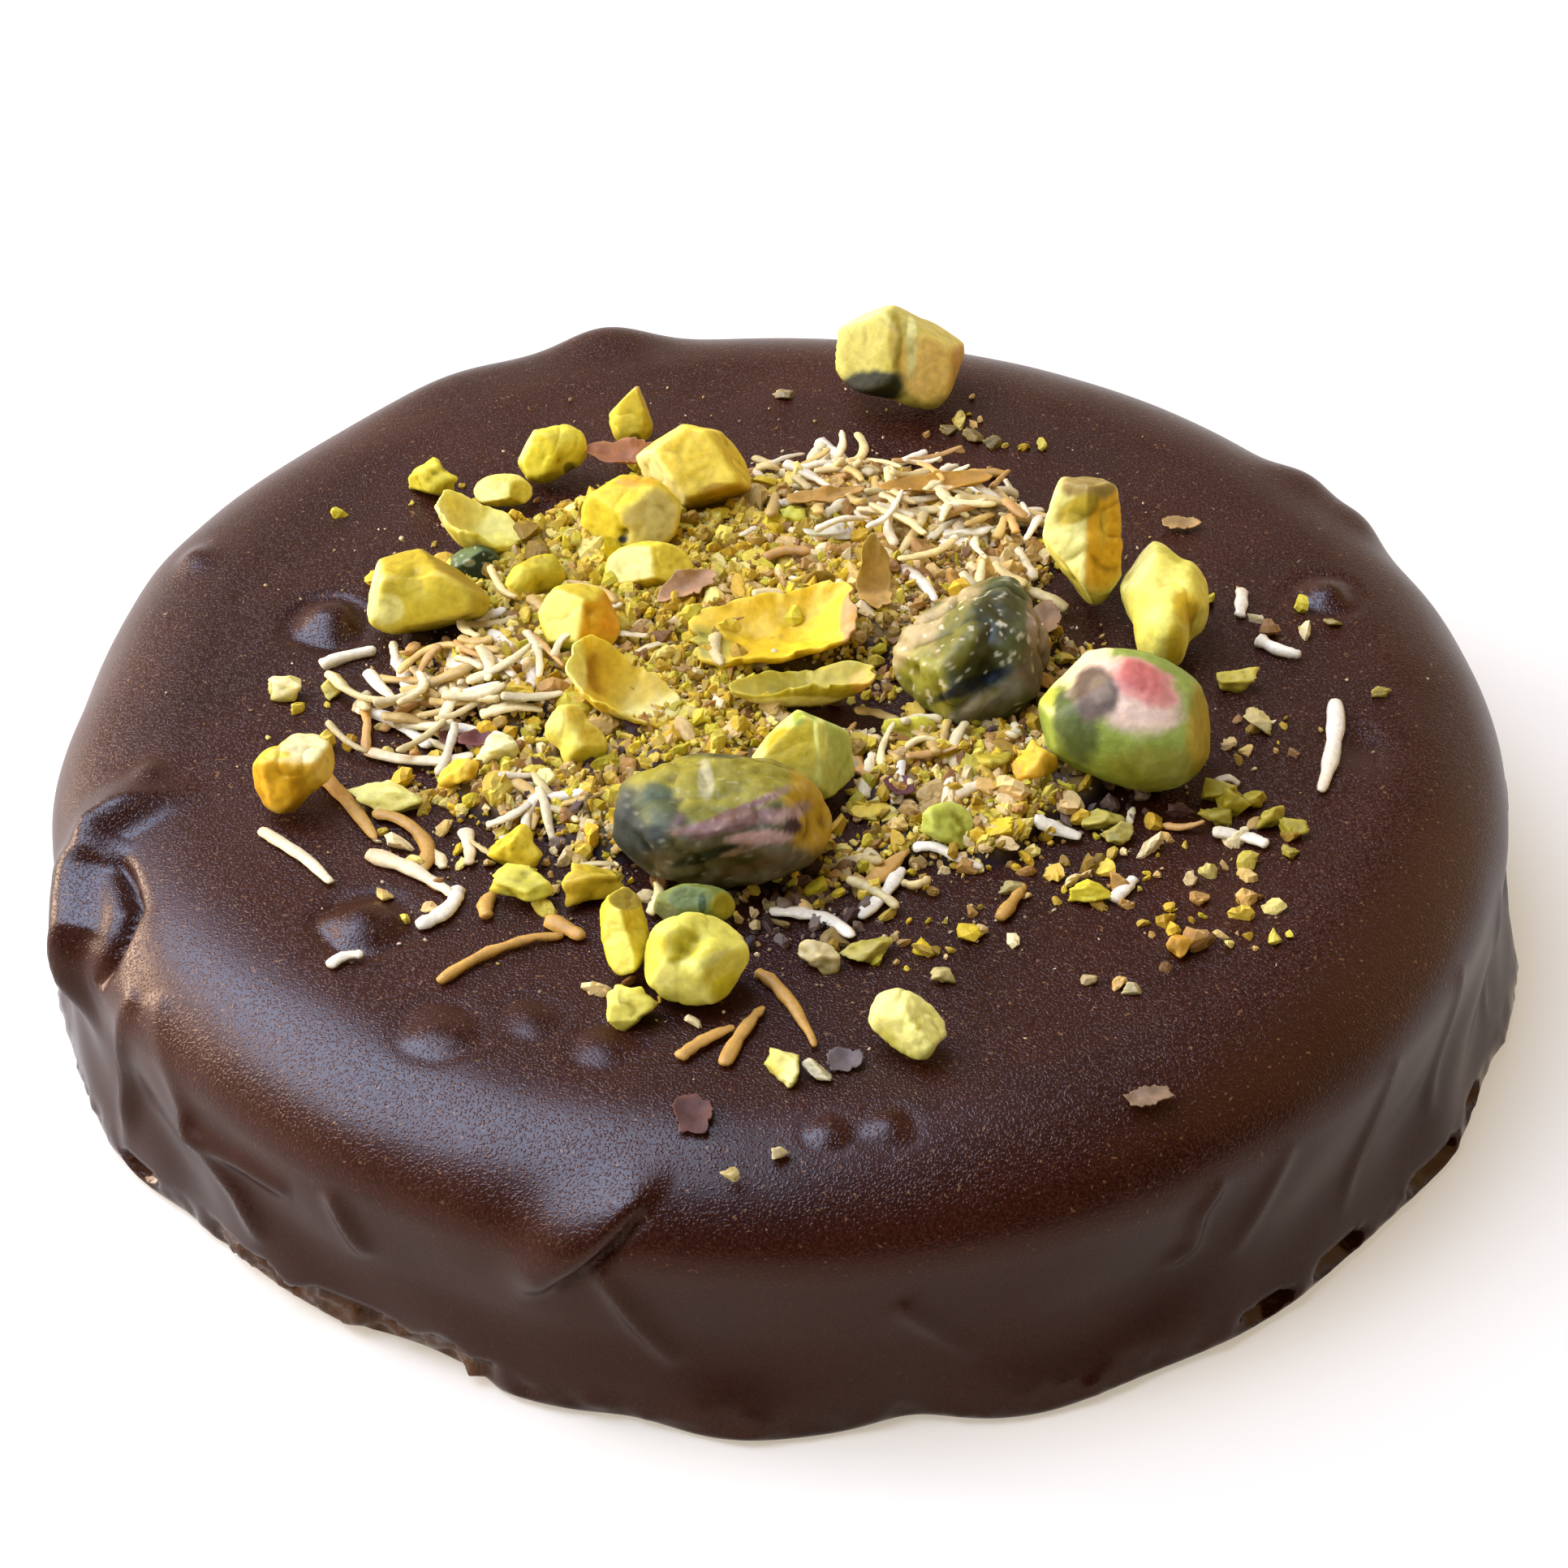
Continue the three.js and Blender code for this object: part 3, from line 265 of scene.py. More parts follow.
        facets=[(-0.08, 0, 0.62, "#ead046"), (0.82, 0.5, 0.66, "#dcbf2e"), (0.3, -0.9, 0.74, "#b3900f"),
                (-0.78, -0.5, 0.56, "#ece09a"), (-0.6, 0.78, 0.78, "#ebde6a"),
                (0.2, 0.97, 0.84, "#e6cf44")],
        patches=[(0.5, -0.55, 0.4, 0.16, "#b38c0e")],
        flesh="#e6cd42"),
    "middle_lump": dict(
        facets=[(-0.15, 0.5, 0.7, "#dcc41c"), (0.42, -0.15, 0.64, "#dccf80"),
                (-0.6, -0.35, 0.66, "#d2be30")],
        dents=[(-0.15, -0.62, 0.16, 0.3)],
        # First patch below: a dark dot of painted shade in the pit of the dent.
        patches=[(-0.15, -0.62, 0.1, 0.1, "#2e2410"), (0.1, 0.8, 0.4, 0.14, "#d6a520")],
        flesh="#d9c22a"),
    "flat_lump": dict(
        facets=[(-0.3, 0.25, 0.6, "#e2d680"), (0.45, 0.3, 0.62, "#d8c232"), (0, -0.85, 0.66, "#bfa624")],
        flesh="#dac63a"),
    "bent_stick": dict(
        lobes=[(-0.42, -0.36, 0, 0.62), (0, 0.1, 0, 0.6), (0.42, 0.34, 0, 0.62)],
        facets=[(-0.55, 0.6, 0.8, "#cfc640")],
        dents=[(0.4, -0.55, 0.5, 0.35)],
        flesh="#c9b92e"),
    "golden_outlier": dict(
        lobes=[(-0.3, -0.15, -0.1, 0.74), (0.36, 0.25, 0.15, 0.66)],
        facets=[(-0.12, -0.3, 0.56, "#d2a010"), (0.12, 0.82, 0.6, "#ece2aa"),
                (-0.85, -0.3, 0.76, "#cf9a16"), (0.9, 0.1, 0.78, "#dcc264"),
                (0.5, -0.82, 0.66, "#b98a12")],
        dents=[(0.5, -0.5, 0.45, 0.32)],
        patches=[(-0.3, 0.45, 0.3, 0.1, "#e2c850")],
        flesh="#dab02a", rough=0.9),
    "front_stick": dict(
        lobes=[(-0.1, 0.15, 0.25, 0.8), (0.1, -0.15, -0.25, 0.82)],
        facets=[(-0.3, -0.1, 0.6, "#f0e66c"), (0.75, 0.2, 0.66, "#ccb430"), (0.3, 0.9, 0.74, "#8f7c1a")],
        dents=[(0.4, 0.0, 0.35, 0.14)],
        patches=[(0.3, 0.7, 0.36, 0.2, "#8f7a1c")],
        flesh="#d2c02a", rough=0.9),
    "front_chunk": dict(
        facets=[(-0.25, -0.58, 0.62, "#f2ea86"), (0.62, -0.2, 0.6, "#e6dc58"),
                (0.42, 0.75, 0.7, "#dbd258"), (-0.92, 0.1, 0.76, "#d6cc48")],
        dents=[(-0.3, 0.36, 0.55, 0.58), (0.2, 0.85, 0.3, 0.25)],
        patches=[(-0.32, 0.32, 0.36, 0.36, "#b0a214"), (0.1, -0.12, 0.6, 0.14, 0.6, "#e6e07c"),
                 (0.6, -0.6, 0.3, 0.3, "#d2c62c")],
        flesh="#ded458", rough=0.6),
    "front_dark": dict(
        facets=[(-0.1, 0.3, 0.78, "#6b7634"), (0.7, -0.1, 0.8, "#b3aa26"), (-0.6, -0.4, 0.8, "#8c9260")],
        patches=[(0.2, 0.1, 0.1, 0.5, "#465424")],
        flesh="#7a853a"),
    "lone_piece": dict(
        lobes=[(-0.34, 0.3, 0.05, 0.66), (0.34, -0.3, -0.05, 0.68), (0, 0, 0, 0.62)],
        facets=[(-0.5, -0.45, 0.56, "#eae48a"), (0.5, 0.55, 0.52, "#dfd87a"),
                (0.7, -0.7, 0.88, "#e9e49a"), (-0.1, -0.1, 0.72, "#e6df84")],
        dents=[(0.3, 0.35, 0.3, 0.16), (-0.35, -0.1, 0.3, 0.12)],
        patches=[(0.25, 0.05, 0.08, 0.2, "#c3b950")],
        flesh="#e6de84", rough=1.1),
    "curl_end": dict(
        lobes=[(-0.3, 0.3, 0.25, 0.66), (0.3, -0.3, -0.2, 0.72)],
        facets=[(-0.5, 0.1, 0.72, "#e2da78"), (0.4, 0.5, 0.6, "#c9a824"), (0.3, -0.75, 0.8, "#d6c84c")],
        patches=[(0.2, -0.55, 0.35, 0.25, "#cdbb34")],
        flesh="#d9cd5a"),
}

# Thin shavings of nut flesh, dished: half length, half width, squareness of the outline, turn in degrees,
# rim heights on the right, back, left and front, thickness, and colours.
SHAVINGS = {
    "yellow_flake": dict(
        patches=[(0.92, 0.0, 0.12, 0.8, "#b98f5a"), (-0.72, 0.0, 0.3, 0.8, "#aaa348"),
                 (-0.2, 0, 0.4, 0.6, "#d6b114"), (0.3, 0.4, 0.4, 0.3, "#e0c63c"),
                 (-0.8, 0.3, 0.12, 0.2, "#c3bd7c")],
        half=(4.5, 3.1), square=6, turn=8, rims=(1.7, 1.1, 0.5, 0.6), thick=0.5, flesh="#dcb81c"),
    "boat_flake": dict(
        patches=[(0.85, 0, 0.2, 0.5, "#c69a44"), (0, -0.75, 0.7, 0.2, "#ded58c")],
        half=(4.2, 1.6), square=2.0, turn=6, rims=(1.4, 0.5, 1.0, 1.5), thick=0.45, flesh="#ab9d2e"),
    "curled_shaving": dict(
        # First patch below: painted shade, golden-dark inside the curl on its left.
        patches=[(-0.35, 0.25, 0.35, 0.45, "#a9820e"), (0.5, -0.35, 0.55, 0.45, "#f4e898"),
                 (-0.85, 0.2, 0.2, 0.8, "#e6dc84"), (-0.3, -0.8, 0.5, 0.16, "#e2d67a"),
                 (0.05, 0.0, 0.3, 0.14, -0.9, "#c99f1e")],
        half=(4.0, 3.2), square=2.2, turn=-35, rims=(0.1, 1.4, 4.2, 2.4), thick=0.6, flesh="#dabb36"),
    "left_curl": dict(
        patches=[(0.1, 0.3, 0.5, 0.45, "#d0a01e"), (-0.9, 0.2, 0.2, 0.6, "#e8e08a")],
        half=(2.6, 2.3), square=2.2, turn=-20, rims=(0.3, 0.8, 2.2, 1.5), thick=0.6, flesh="#e0d468"),
}

# Pastry threads and slivers that stand out, by colour: both ends in plan and how far the middle bows aside.
THREADS = {
    TOAST: [
        (-24.6, -7.3, -21.2, -13.1, 0.2), (-21.6, -10.9, -18.6, -15.7, 1.5),
        (-17.2, -24.4, -10.9, -20.6, 0.7),
        (-1.1, -23.6, 1.8, -29.3, 0.5), (-4.9, -30, -2.2, -27.8, 0.2), (-2.7, -30.6, -0.7, -26.2, 0.2),
        (-12, -19.6, -10, -21, 0.2), (11.3, -19.6, 12.8, -16.8, 0), (2.3, 15.6, 10.3, 17.4, 0.5),
        (11, 20.5, 13.4, 20.6, 0.2), (-15, -19.4, -14.6, -17.2, 0.3), (4.6, -16.8, 6.8, -14.4, 0),
    ],
    CREAM: [
        (-21.6, -14.2, -16.8, -17.6, 0.3), (8.6, 13, 15.5, 17, 0.4), (13.3, 12, 14.5, 9.4, 0),
        (4.6, -9.6, 5.2, -6.4, 0.1), (9.2, -10.8, 11.1, -9.8, 0.2), (-22.2, -5.4, -16.3, -6.6, -0.7),
        (-16.5, -12.2, -16.2, -15.2, 0.1), (-27.4, -12.2, -23.2, -16.6, 0.3), (3.7, 13.2, 5.2, 15.3, 0),
    ],
    WHITE: [
        (-18.6, -20, -16.6, -16.8, -0.6), (30.6, -1, 28.9, -9.2, 0.3), (26.3, 9.2, 25.9, 6.5, 0),
        (26.7, 4.4, 29, 2.9, -0.2), (22.8, -12.6, 25.7, -13.6, 0.2), (13.4, -12.4, 15.9, -13, 0.1),
        (-0.5, -18.9, 3.8, -21, 0.8), (6.4, -15.4, 4.1, -19.4, 0.3), (7, -14.4, 10.7, -15.4, 0.2),
        (17.3, -18, 18.6, -16.1, 0), (-22.8, -23.2, -21.2, -22.5, 0.3), (6, 20, 8.8, 23, 0.2),
        (2.3, 24, 4.3, 21, 0.1), (10.4, 21, 12, 18.4, 0), (0.8, 10.8, 3.2, 13.2, 0.2),
        (9, 11.8, 12, 12.6, 0.2),
        (6.9, 9.6, 8.8, 6.4, 0.2), (-17, 4.6, -15.2, 5.8, 0.2), (-16, 3.6, -14.6, 2.2, 0),
        (-13.9, 1.2, -13.6, -1.4, 0.2), (-18.3, 3.2, -17.3, -1, 0.3), (-21.3, 2.8, -20.2, -1, 0.2),
        (-23, -1.6, -18.8, -5.2, 0.3), (-18.5, -3.8, -14.4, -5.4, 0.4), (-25.3, 2.2, -22.4, 3.4, 0.2),
        (-15, -10.4, -13, -9.6, 0), (-12.8, -11.2, -10.2, -10.6, 0.2), (6.2, -10.4, 6.6, -7.6, 0),
    ],
}

# Chopped bits that stand out: place, size along X, Y and Z, and colour.
BITS = [
    (-14.1, -14.6, 3, 2.8, 2.2, FLESH), (-12.7, -17.7, 3.4, 2.2, 1.8, "#c6bc3c"),
    (-9.8, -17.3, 3.2, 2.2, 2, "#c0a41c"), (-20.6, 19.3, 3, 2.6, 2.4, "#d8cc3c"),
    (-7.9, -27.2, 2.6, 2.2, 2, "#d9cf5a"), (23.2, -9.4, 1.9, 1.6, 1.5, OLIVE),
    (24.4, -10.4, 2.1, 1.7, 1.5, OLIVE), (25.3, -9.6, 1.3, 1.2, 1, "#b0a02c"),
    (23.5, -11.1, 1.5, 1.3, 1, "#8f8420"), (26.2, -11.3, 1.6, 1.9, 1.3, "#a89a2c"),
    (27, -12.4, 1.6, 1.2, 1, OLIVE), (13.6, -8.8, 2.6, 2.2, 2, "#d8a91e"), (8.5, -13.6, 3, 2.6, 2, LIME),
    (7.2, -4.6, 3, 2, 1.8, "#c9c23c"), (10.2, -4.2, 2.4, 2, 1.8, "#c2b832"),
    (16.9, -11.6, 2.4, 2, 1.2, "#a89c40"), (11.4, -8, 2.2, 2, 1.5, OLIVE),
    (-20.6, -9.8, 4.4, 1.9, 1.5, PALE), (-17, -9, 2.2, 1.8, 1.6, "#d9b52a"),
    (-26.8, -0.2, 2, 1.8, 1.4, "#d8cc90"), (-24.5, 0.2, 1.2, 2, 1, "#c9bc62"),
    (16.2, -17.6, 2.4, 1.6, 1.2, "#cfc02c"), (0.6, -30.6, 1.8, 2.8, 1.3, "#d9cf86"),
    (2, -31.2, 1.6, 1.2, 1, "#cfc6a0"), (20.6, -21.6, 1.6, 1.8, 1.2, "#b98a22"),
    (4.8, -21.9, 2.8, 1.8, 1.2, "#b3a64c"), (2.2, -22.6, 2.2, 1.8, 1.4, "#c0b07c"),
    (8.3, -23.9, 1.4, 1.2, 0.9, "#b5a76a"), (20.5, -8.2, 2.2, 2, 1.6, "#b0a02c"),
    (17.8, -12.8, 1.8, 1.4, 1.1, "#a5994a"), (12.2, -17, 1.5, 1.1, 0.8, "#9c8f58"),
    (25, 0.4, 2.4, 1.4, 1.4, "#c0ae3c"), (26.2, -3.2, 1.5, 2, 1, "#b9a566"),
    (-17.6, 14.2, 2, 1.6, 1.6, "#a9b03c"), (-3.5, -9.6, 1.8, 1.4, 1.2, "#c9b44a"),
    (-15.2, -7.2, 2.4, 2, 1.6, "#dcd49a"), (-12.6, -9.4, 1.6, 1.4, 1.2, "#d9cf8a"),
    (2.4, 12.8, 3, 1.3, 1.1, "#c9c4b0"), (10.3, 12.8, 3.2, 1.4, 1.1, "#d6cfb8"),
    (6.9, 20.1, 2.8, 1.3, 1.1, "#d9d2bc"), (0.4, 14.6, 1.8, 1.6, 1.4, "#c6c23c"),
    (11.5, 24.6, 1.4, 1, 0.8, "#8f7c52"), (12.8, 24, 1.2, 1, 0.7, "#7e6c46"),
    (10.2, 25.6, 1.1, 0.9, 0.7, "#8a7a50"), (0.5, 29.1, 1.3, 0.9, 0.6, "#8a7a58"),
    (15.7, -24.1, 0.9, 0.8, 0.6, "#a8966a"), (17.9, -24.7, 1.2, 0.8, 0.7, "#b5a77c"),
    (31, 6.2, 1.1, 0.8, 0.6, "#a8966e"), (33.1, -0.2, 1.2, 0.7, 0.6, "#9c8a3c"),
    (-2.3, -37.8, 1.0, 0.8, 0.6, "#9a8c5c"), (0, -36.4, 0.9, 0.8, 0.6, "#a3946a"),
    (26.8, -14.1, 1, 0.8, 0.7, "#a5963c"),
]

# Papery flakes of nut skin: place, half length, half width, turn in degrees, lift, rim heights and colour.
FLAKES = [
    (-4.1, -33.8, 0.9, 1.3, 12, 0, (0.4, 0.1, 0.3, 0.1), "#5e3a2c"),
    (23.3, 15.5, 1.1, 0.55, 0, 0.2, (0.3, 0.2, 0.3, 0.1), TAN),
    (18.2, -32.2, 1.3, 0.55, 20, 0, (0.1, 0.1, 0.1, 0), "#8f7458"),
    (3.3, -30.2, 0.9, 0.7, 0, 0.2, (0.2, 0.2, 0.2, 0.1), "#70605c"),
    (-8.6, 19.9, 2.6, 1.0, -6, 1.7, (0.9, 0.9, 0.6, 0.5), "#ae744c"),
    (-5, 7.4, 1.9, 0.8, 38, 0.6, (0.4, 0.9, 0.2, 0.2), "#b98f68"),
    (6.5, -9.7, 0.7, 0.9, 30, 0.4, (0.3, 0.2, 0.3, 0.2), "#6e3c3a"),
    (-17.5, -4.8, 0.8, 0.7, 10, 0.5, (0.3, 0.2, 0.3, 0.2), "#84504a"),
    (5.4, 6.6, 1.0, 1.3, 8, 0.6, (0.3, 3.4, 0.3, 0.1), "#cfa352"),
    (9.4, 16.4, 3.2, 0.7, 4, 1.3, (0.6, 0.7, 0.3, 0.1), "#bd8c30"),
    (2.8, 15.4, 2.4, 0.5, 12, 1.2, (0.4, 0.5, 0.3, 0.1), "#c89a4c"),
    (14.8, 4.2, 0.9, 1.2, -20, 0.8, (0.4, 0.8, 0.3, 0.2), "#8a6a44"),
    (-16.2, -5.6, 0.9, 0.7, 50, 0.5, (0.3, 0.4, 0.3, 0.2), "#7d4a44"),
]

# Where the meal lies thick: centre, half width along X and Y, weight, and the share of pastry in it. Then its
# layers of grains: name, how many, smallest and largest size, rows and columns of each grain.
MEAL_ZONES = [
    (-13, 12, 6, 6, 1.0, 0.05), (-6, 14, 7, 6, 1.1, 0.1), (5, 17, 7, 5, 1.0, 0.8),
    (-7, 3, 6, 5, 1.0, 0.1), (1, 7, 8, 6, 1.0, 0.3), (10, 11, 6, 5, 0.9, 0.8),
    (-2.6, -5, 6, 3.5, 0.8, 0.2), (9.6, -6.1, 5, 4, 0.9, 0.4), (15, -9, 5, 3.5, 0.75, 0.3),
    (-16, 1, 5, 5, 0.7, 0.5), (-14, -9, 6, 4, 0.75, 0.4), (2, -16, 6, 4, 0.5, 0.4),
    (20, -6, 3, 5, 0.5, 0.4), (13, 3, 4, 5, 0.7, 0.6), (-20, 10, 3, 5, 0.5, 0.1),
    (9, -13, 5, 3.5, 0.5, 0.3), (-9, -13, 4, 4, 0.5, 0.4), (23, -10, 3, 3, 0.5, 0.2),
    (-8, -9, 4, 3, 0.7, 0.4), (14, -15, 5, 3, 0.4, 0.3), (-8.5, -3, 3, 2.5, 0.8, 0.2),
]
MEAL_LAYERS = [("fine_meal", 9000, 0.2, 0.45, 4, 5), ("meal_grains", 3000, 0.4, 0.8, 6, 8)]

# Stray crumbs on the bare coat round the topping, and dark crumbs of husk: middle of each patch, half width
# and how many. Then the colours of husk, nut and pastry crumbs.
STRAYS = [
    (7, -19, 4, 26), (14, -14, 5, 34), (20, -17, 3.5, 18), (22, -21, 2.5, 16), (-2, -24, 4, 10),
    (26, -4, 3, 14), (-22, -3, 4, 18), (12, 25, 3, 16), (-20, 16, 4, 12), (-18, -18, 4, 8), (27, 5, 3, 8),
    (24, -13, 3, 12), (3, -14.5, 3, 60), (-3, -16.5, 3.5, 60), (-11, -14.5, 3, 30), (8, -10, 3, 40),
    (-19, -11, 4, 24),
]
HUSKS = [
    (1, -17.5, 3.2, 90), (-6.5, -8.6, 2.5, 60), (-11, -10.5, 2.5, 40), (13, -2.5, 2, 30), (18, -9, 3, 40),
]
HUSK_MEAL = ["#4a3226", "#5c4034", "#3a271c", "#6b5648", "#7d6a5a", "#8a7440"]
NUT_MEAL = ["#caa62a", "#d0b440", "#ba9624", "#e0ce74", "#8e701c", "#c4a63e", "#ceb226", "#beb02c", "#d4c24c"]
PASTRY_MEAL = ["#d6bc86", "#c6a25e", "#e8d6a4", "#b48c4c", "#a57c3e", "#ceb074", "#c8aa62", "#8a6434"]

# Where pastry threads are tangled: centre, half width along X and Y, how many, heading and its spread in
# degrees, shortest and longest half length, height of the pile.
THREAD_ZONES = [
    (8.5, 15, 5.5, 3.4, 80, 25, 60, 0.7, 2.6, 1.6), (2.5, 19, 4, 2.6, 36, 20, 70, 0.7, 2.0, 1.0),
    (-17.6, -0.6, 4.6, 4.6, 60, -25, 60, 0.9, 2.3, 1.2), (-12, 5, 4, 3, 16, 60, 60, 0.8, 2, 0.8),
    (9.6, -6.5, 4.5, 3.6, 22, 70, 50, 0.7, 1.8, 0.6), (13, 4, 3, 4, 18, 100, 50, 0.8, 2, 0.8),
    (2, -16.5, 5, 3, 14, 60, 60, 0.7, 1.8, 0.4), (-13.5, -11, 5, 4, 16, -20, 70, 0.6, 1.6, 0.3),
    (1, 7, 6, 5, 18, 30, 80, 0.6, 1.6, 0.6), (19, -9, 4, 4, 8, 0, 80, 0.5, 1.2, 0.2),
]
THREAD_COLOURS = ["#dfd0a4", "#e8dcc0", "#d2bc82", "#c9aa66", "#dac994", "#c09656", "#e2d5ae"]


def linear(colour):
    """An sRGB hex colour as linear red, green and blue."""
    channels = np.array([int(colour[start:start + 2], 16) for start in (1, 3, 5)]) / 255
    return np.where(channels <= 0.04045, channels / 12.92, ((channels + 0.055) / 1.055) ** 2.4)


def unit(vector):
    """A vector of length 1 along the given one."""
    return np.array(vector, float) / np.linalg.norm(vector)


def seen(across, up):
    """Direction from a piece's middle to a point of the side that faces the camera, as shares of its
    picture."""
    toward = math.sqrt(max(1 - across ** 2 - up ** 2, 0))
    sine, cosine = math.sin(CAMERA_ELEVATION), math.cos(CAMERA_ELEVATION)
    return unit((across, up * sine - toward * cosine, up * cosine + toward * sine))


def smooth_max(values, sharpness):
    """Largest of several arrays with the joins rounded: logarithm of the summed exponentials."""
    return np.log(np.sum(np.exp(sharpness * np.stack(values)), axis=0)) / sharpness


def smoothstep(low, high, value):
    """Smooth climb from 0 at low to 1 at high."""
    share = np.clip((value - low) / (high - low), 0, 1)
    return share * share * (3 - 2 * share)


def mixed(first, second, share):
    """Blend of two colours or colour arrays by an array of shares."""
    return first + (second - first) * share[..., None]


def hashed(cells, seed):
    """A repeatable number from 0 to 1 for each whole-number cell, by mixing its bits."""
    x, y, z = np.moveaxis(cells.astype(np.uint32), -1, 0)
    bits = x * np.uint32(0x8DA6B343) + y * np.uint32(0xD8163841) + z * np.uint32(0xCB1AB31F)
    bits = bits + np.uint32((seed * 0x9E3779B1) & 0xFFFFFFFF)
    bits = (bits ^ (bits >> np.uint32(15))) * np.uint32(0x2C1B3C6D)
    bits = (bits ^ (bits >> np.uint32(12))) * np.uint32(0x297A2D39)
    return (bits ^ (bits >> np.uint32(15))) / 2.0 ** 32


def noise(points, cell, seed):
    """Smooth noise from -1 to 1: hashed numbers at the corners of cubes of one size, blended between."""
    scaled = points / cell
    base = np.floor(scaled).astype(np.int64)
    part = scaled - base
    part = part * part * (3 - 2 * part)
    total = 0
    for corner in itertools.product((0, 1), repeat=3):
        weight = np.prod(np.where(np.array(corner) == 1, part, 1 - part), axis=-1)
        total = total + weight * hashed(base + np.array(corner), seed)
    return 2 * total - 1


def mottle(points, cell, seed):
    """Noise with two finer layers added, each half as large and half as strong."""
    return (noise(points, cell, seed) + 0.5 * noise(points, cell / 2, seed + 1)
            + 0.25 * noise(points, cell / 4, seed + 2)) / 1.75


def sphere_grid(rows, columns):
    """Unit directions on a grid: rows climb from the south pole to the north, columns turn once round."""
    climb = np.linspace(-math.pi / 2, math.pi / 2, rows)[:, None]
    turn = np.arange(columns)[None, :] * 2 * math.pi / columns
    level = np.cos(climb)
    return np.stack([level * np.cos(turn), level * np.sin(turn), np.sin(climb) + 0 * turn], -1)


def skin_faces(rows, columns):
    """Corner numbers of a closed skin's four-sided and three-sided faces, wound to face outwards."""
    ring = np.arange(columns)
    beside = np.roll(ring, -1)
    row = 1 + columns * np.arange(rows - 3)[:, None]
    quads = np.stack([row + ring, row + beside, row + columns + beside, row + columns + ring], -1)
    last_row = 1 + columns * (rows - 3)
    last_pole = last_row + columns
    foot = np.stack([0 * ring, 1 + beside, 1 + ring], -1)
    head = np.stack([0 * ring + last_pole, last_row + ring, last_row + beside], -1)
    return quads.reshape(-1, 4), np.concatenate([foot, head])


def flatten_skins(values):
    """Values on a grid of skins [skin, row, column], with each pole row taken as one point."""
    count, channels = values.shape[0], values.shape[-1]
    inner = values[:, 1:-1].reshape(count, -1, channels)
    return np.concatenate([values[:, 0, :1], inner, values[:, -1, :1]], axis=1)


def make_piece(name, skins, tints, material, nodes, smooth=True):
    """One object of closed skins [skin, row, column] whose columns wrap round, with a colour at every
    point."""
    points = flatten_skins(skins * MM)
    count, per_skin = points.shape[:2]
    quads, triangles = skin_faces(*skins.shape[1:3])
    step = per_skin * np.arange(count)[:, None, None]
    corners = np.concatenate([(quads + step).ravel(), (triangles + step).ravel()])
    sizes = np.repeat([4, 3], [len(quads) * count, len(triangles) * count])
    mesh = bpy.data.meshes.new(name)
    mesh.vertices.add(count * per_skin)
    mesh.vertices.foreach_set("co", points.astype(np.float32).ravel())
    mesh.loops.add(len(corners))
    mesh.loops.foreach_set("vertex_index", corners.astype(np.int32))
    mesh.polygons.add(len(sizes))
    mesh.polygons.foreach_set("loop_start", (np.cumsum(sizes) - sizes).astype(np.int32))
    mesh.polygons.foreach_set("use_smooth", np.full(len(sizes), smooth))
    mesh.update(calc_edges=True)
    colours = np.ones((count * per_skin, 4), np.float32)
    colours[:, :3] = flatten_skins(tints).reshape(-1, 3)
    mesh.attributes.new("tint", "FLOAT_COLOR", "POINT").data.foreach_set("color", colours.ravel())
    mesh.materials.append(material)
    piece = bpy.data.objects.new(name, mesh)
    bpy.context.scene.collection.objects.link(piece)
    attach(piece, "root")
    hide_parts(*nodes)
    return piece


def add_node(tree, kind, sockets=None, **settings):
    """Add a node of a kind to a tree, with its settings, and set or link its input sockets."""
    made = tree.nodes.new("ShaderNode" + kind)
    for name, value in settings.items():
        setattr(made, name, value)
    for socket, value in (sockets or {}).items():
        if isinstance(value, bpy.types.NodeSocket):
            tree.links.new(value, made.inputs[socket])
        else:
            made.inputs[socket].default_value = value
    return made


def new_material(name):
    """An empty node material, with its tree."""
    material = bpy.data.materials.new(name)
    material.use_nodes = True
    material.node_tree.nodes.clear()
    return material, material.node_tree


def per_metre(size_mm):
    """Scale of a noise texture on Object coordinates whose features are about one size in millimetres."""
    return 1 / (size_mm * MM)


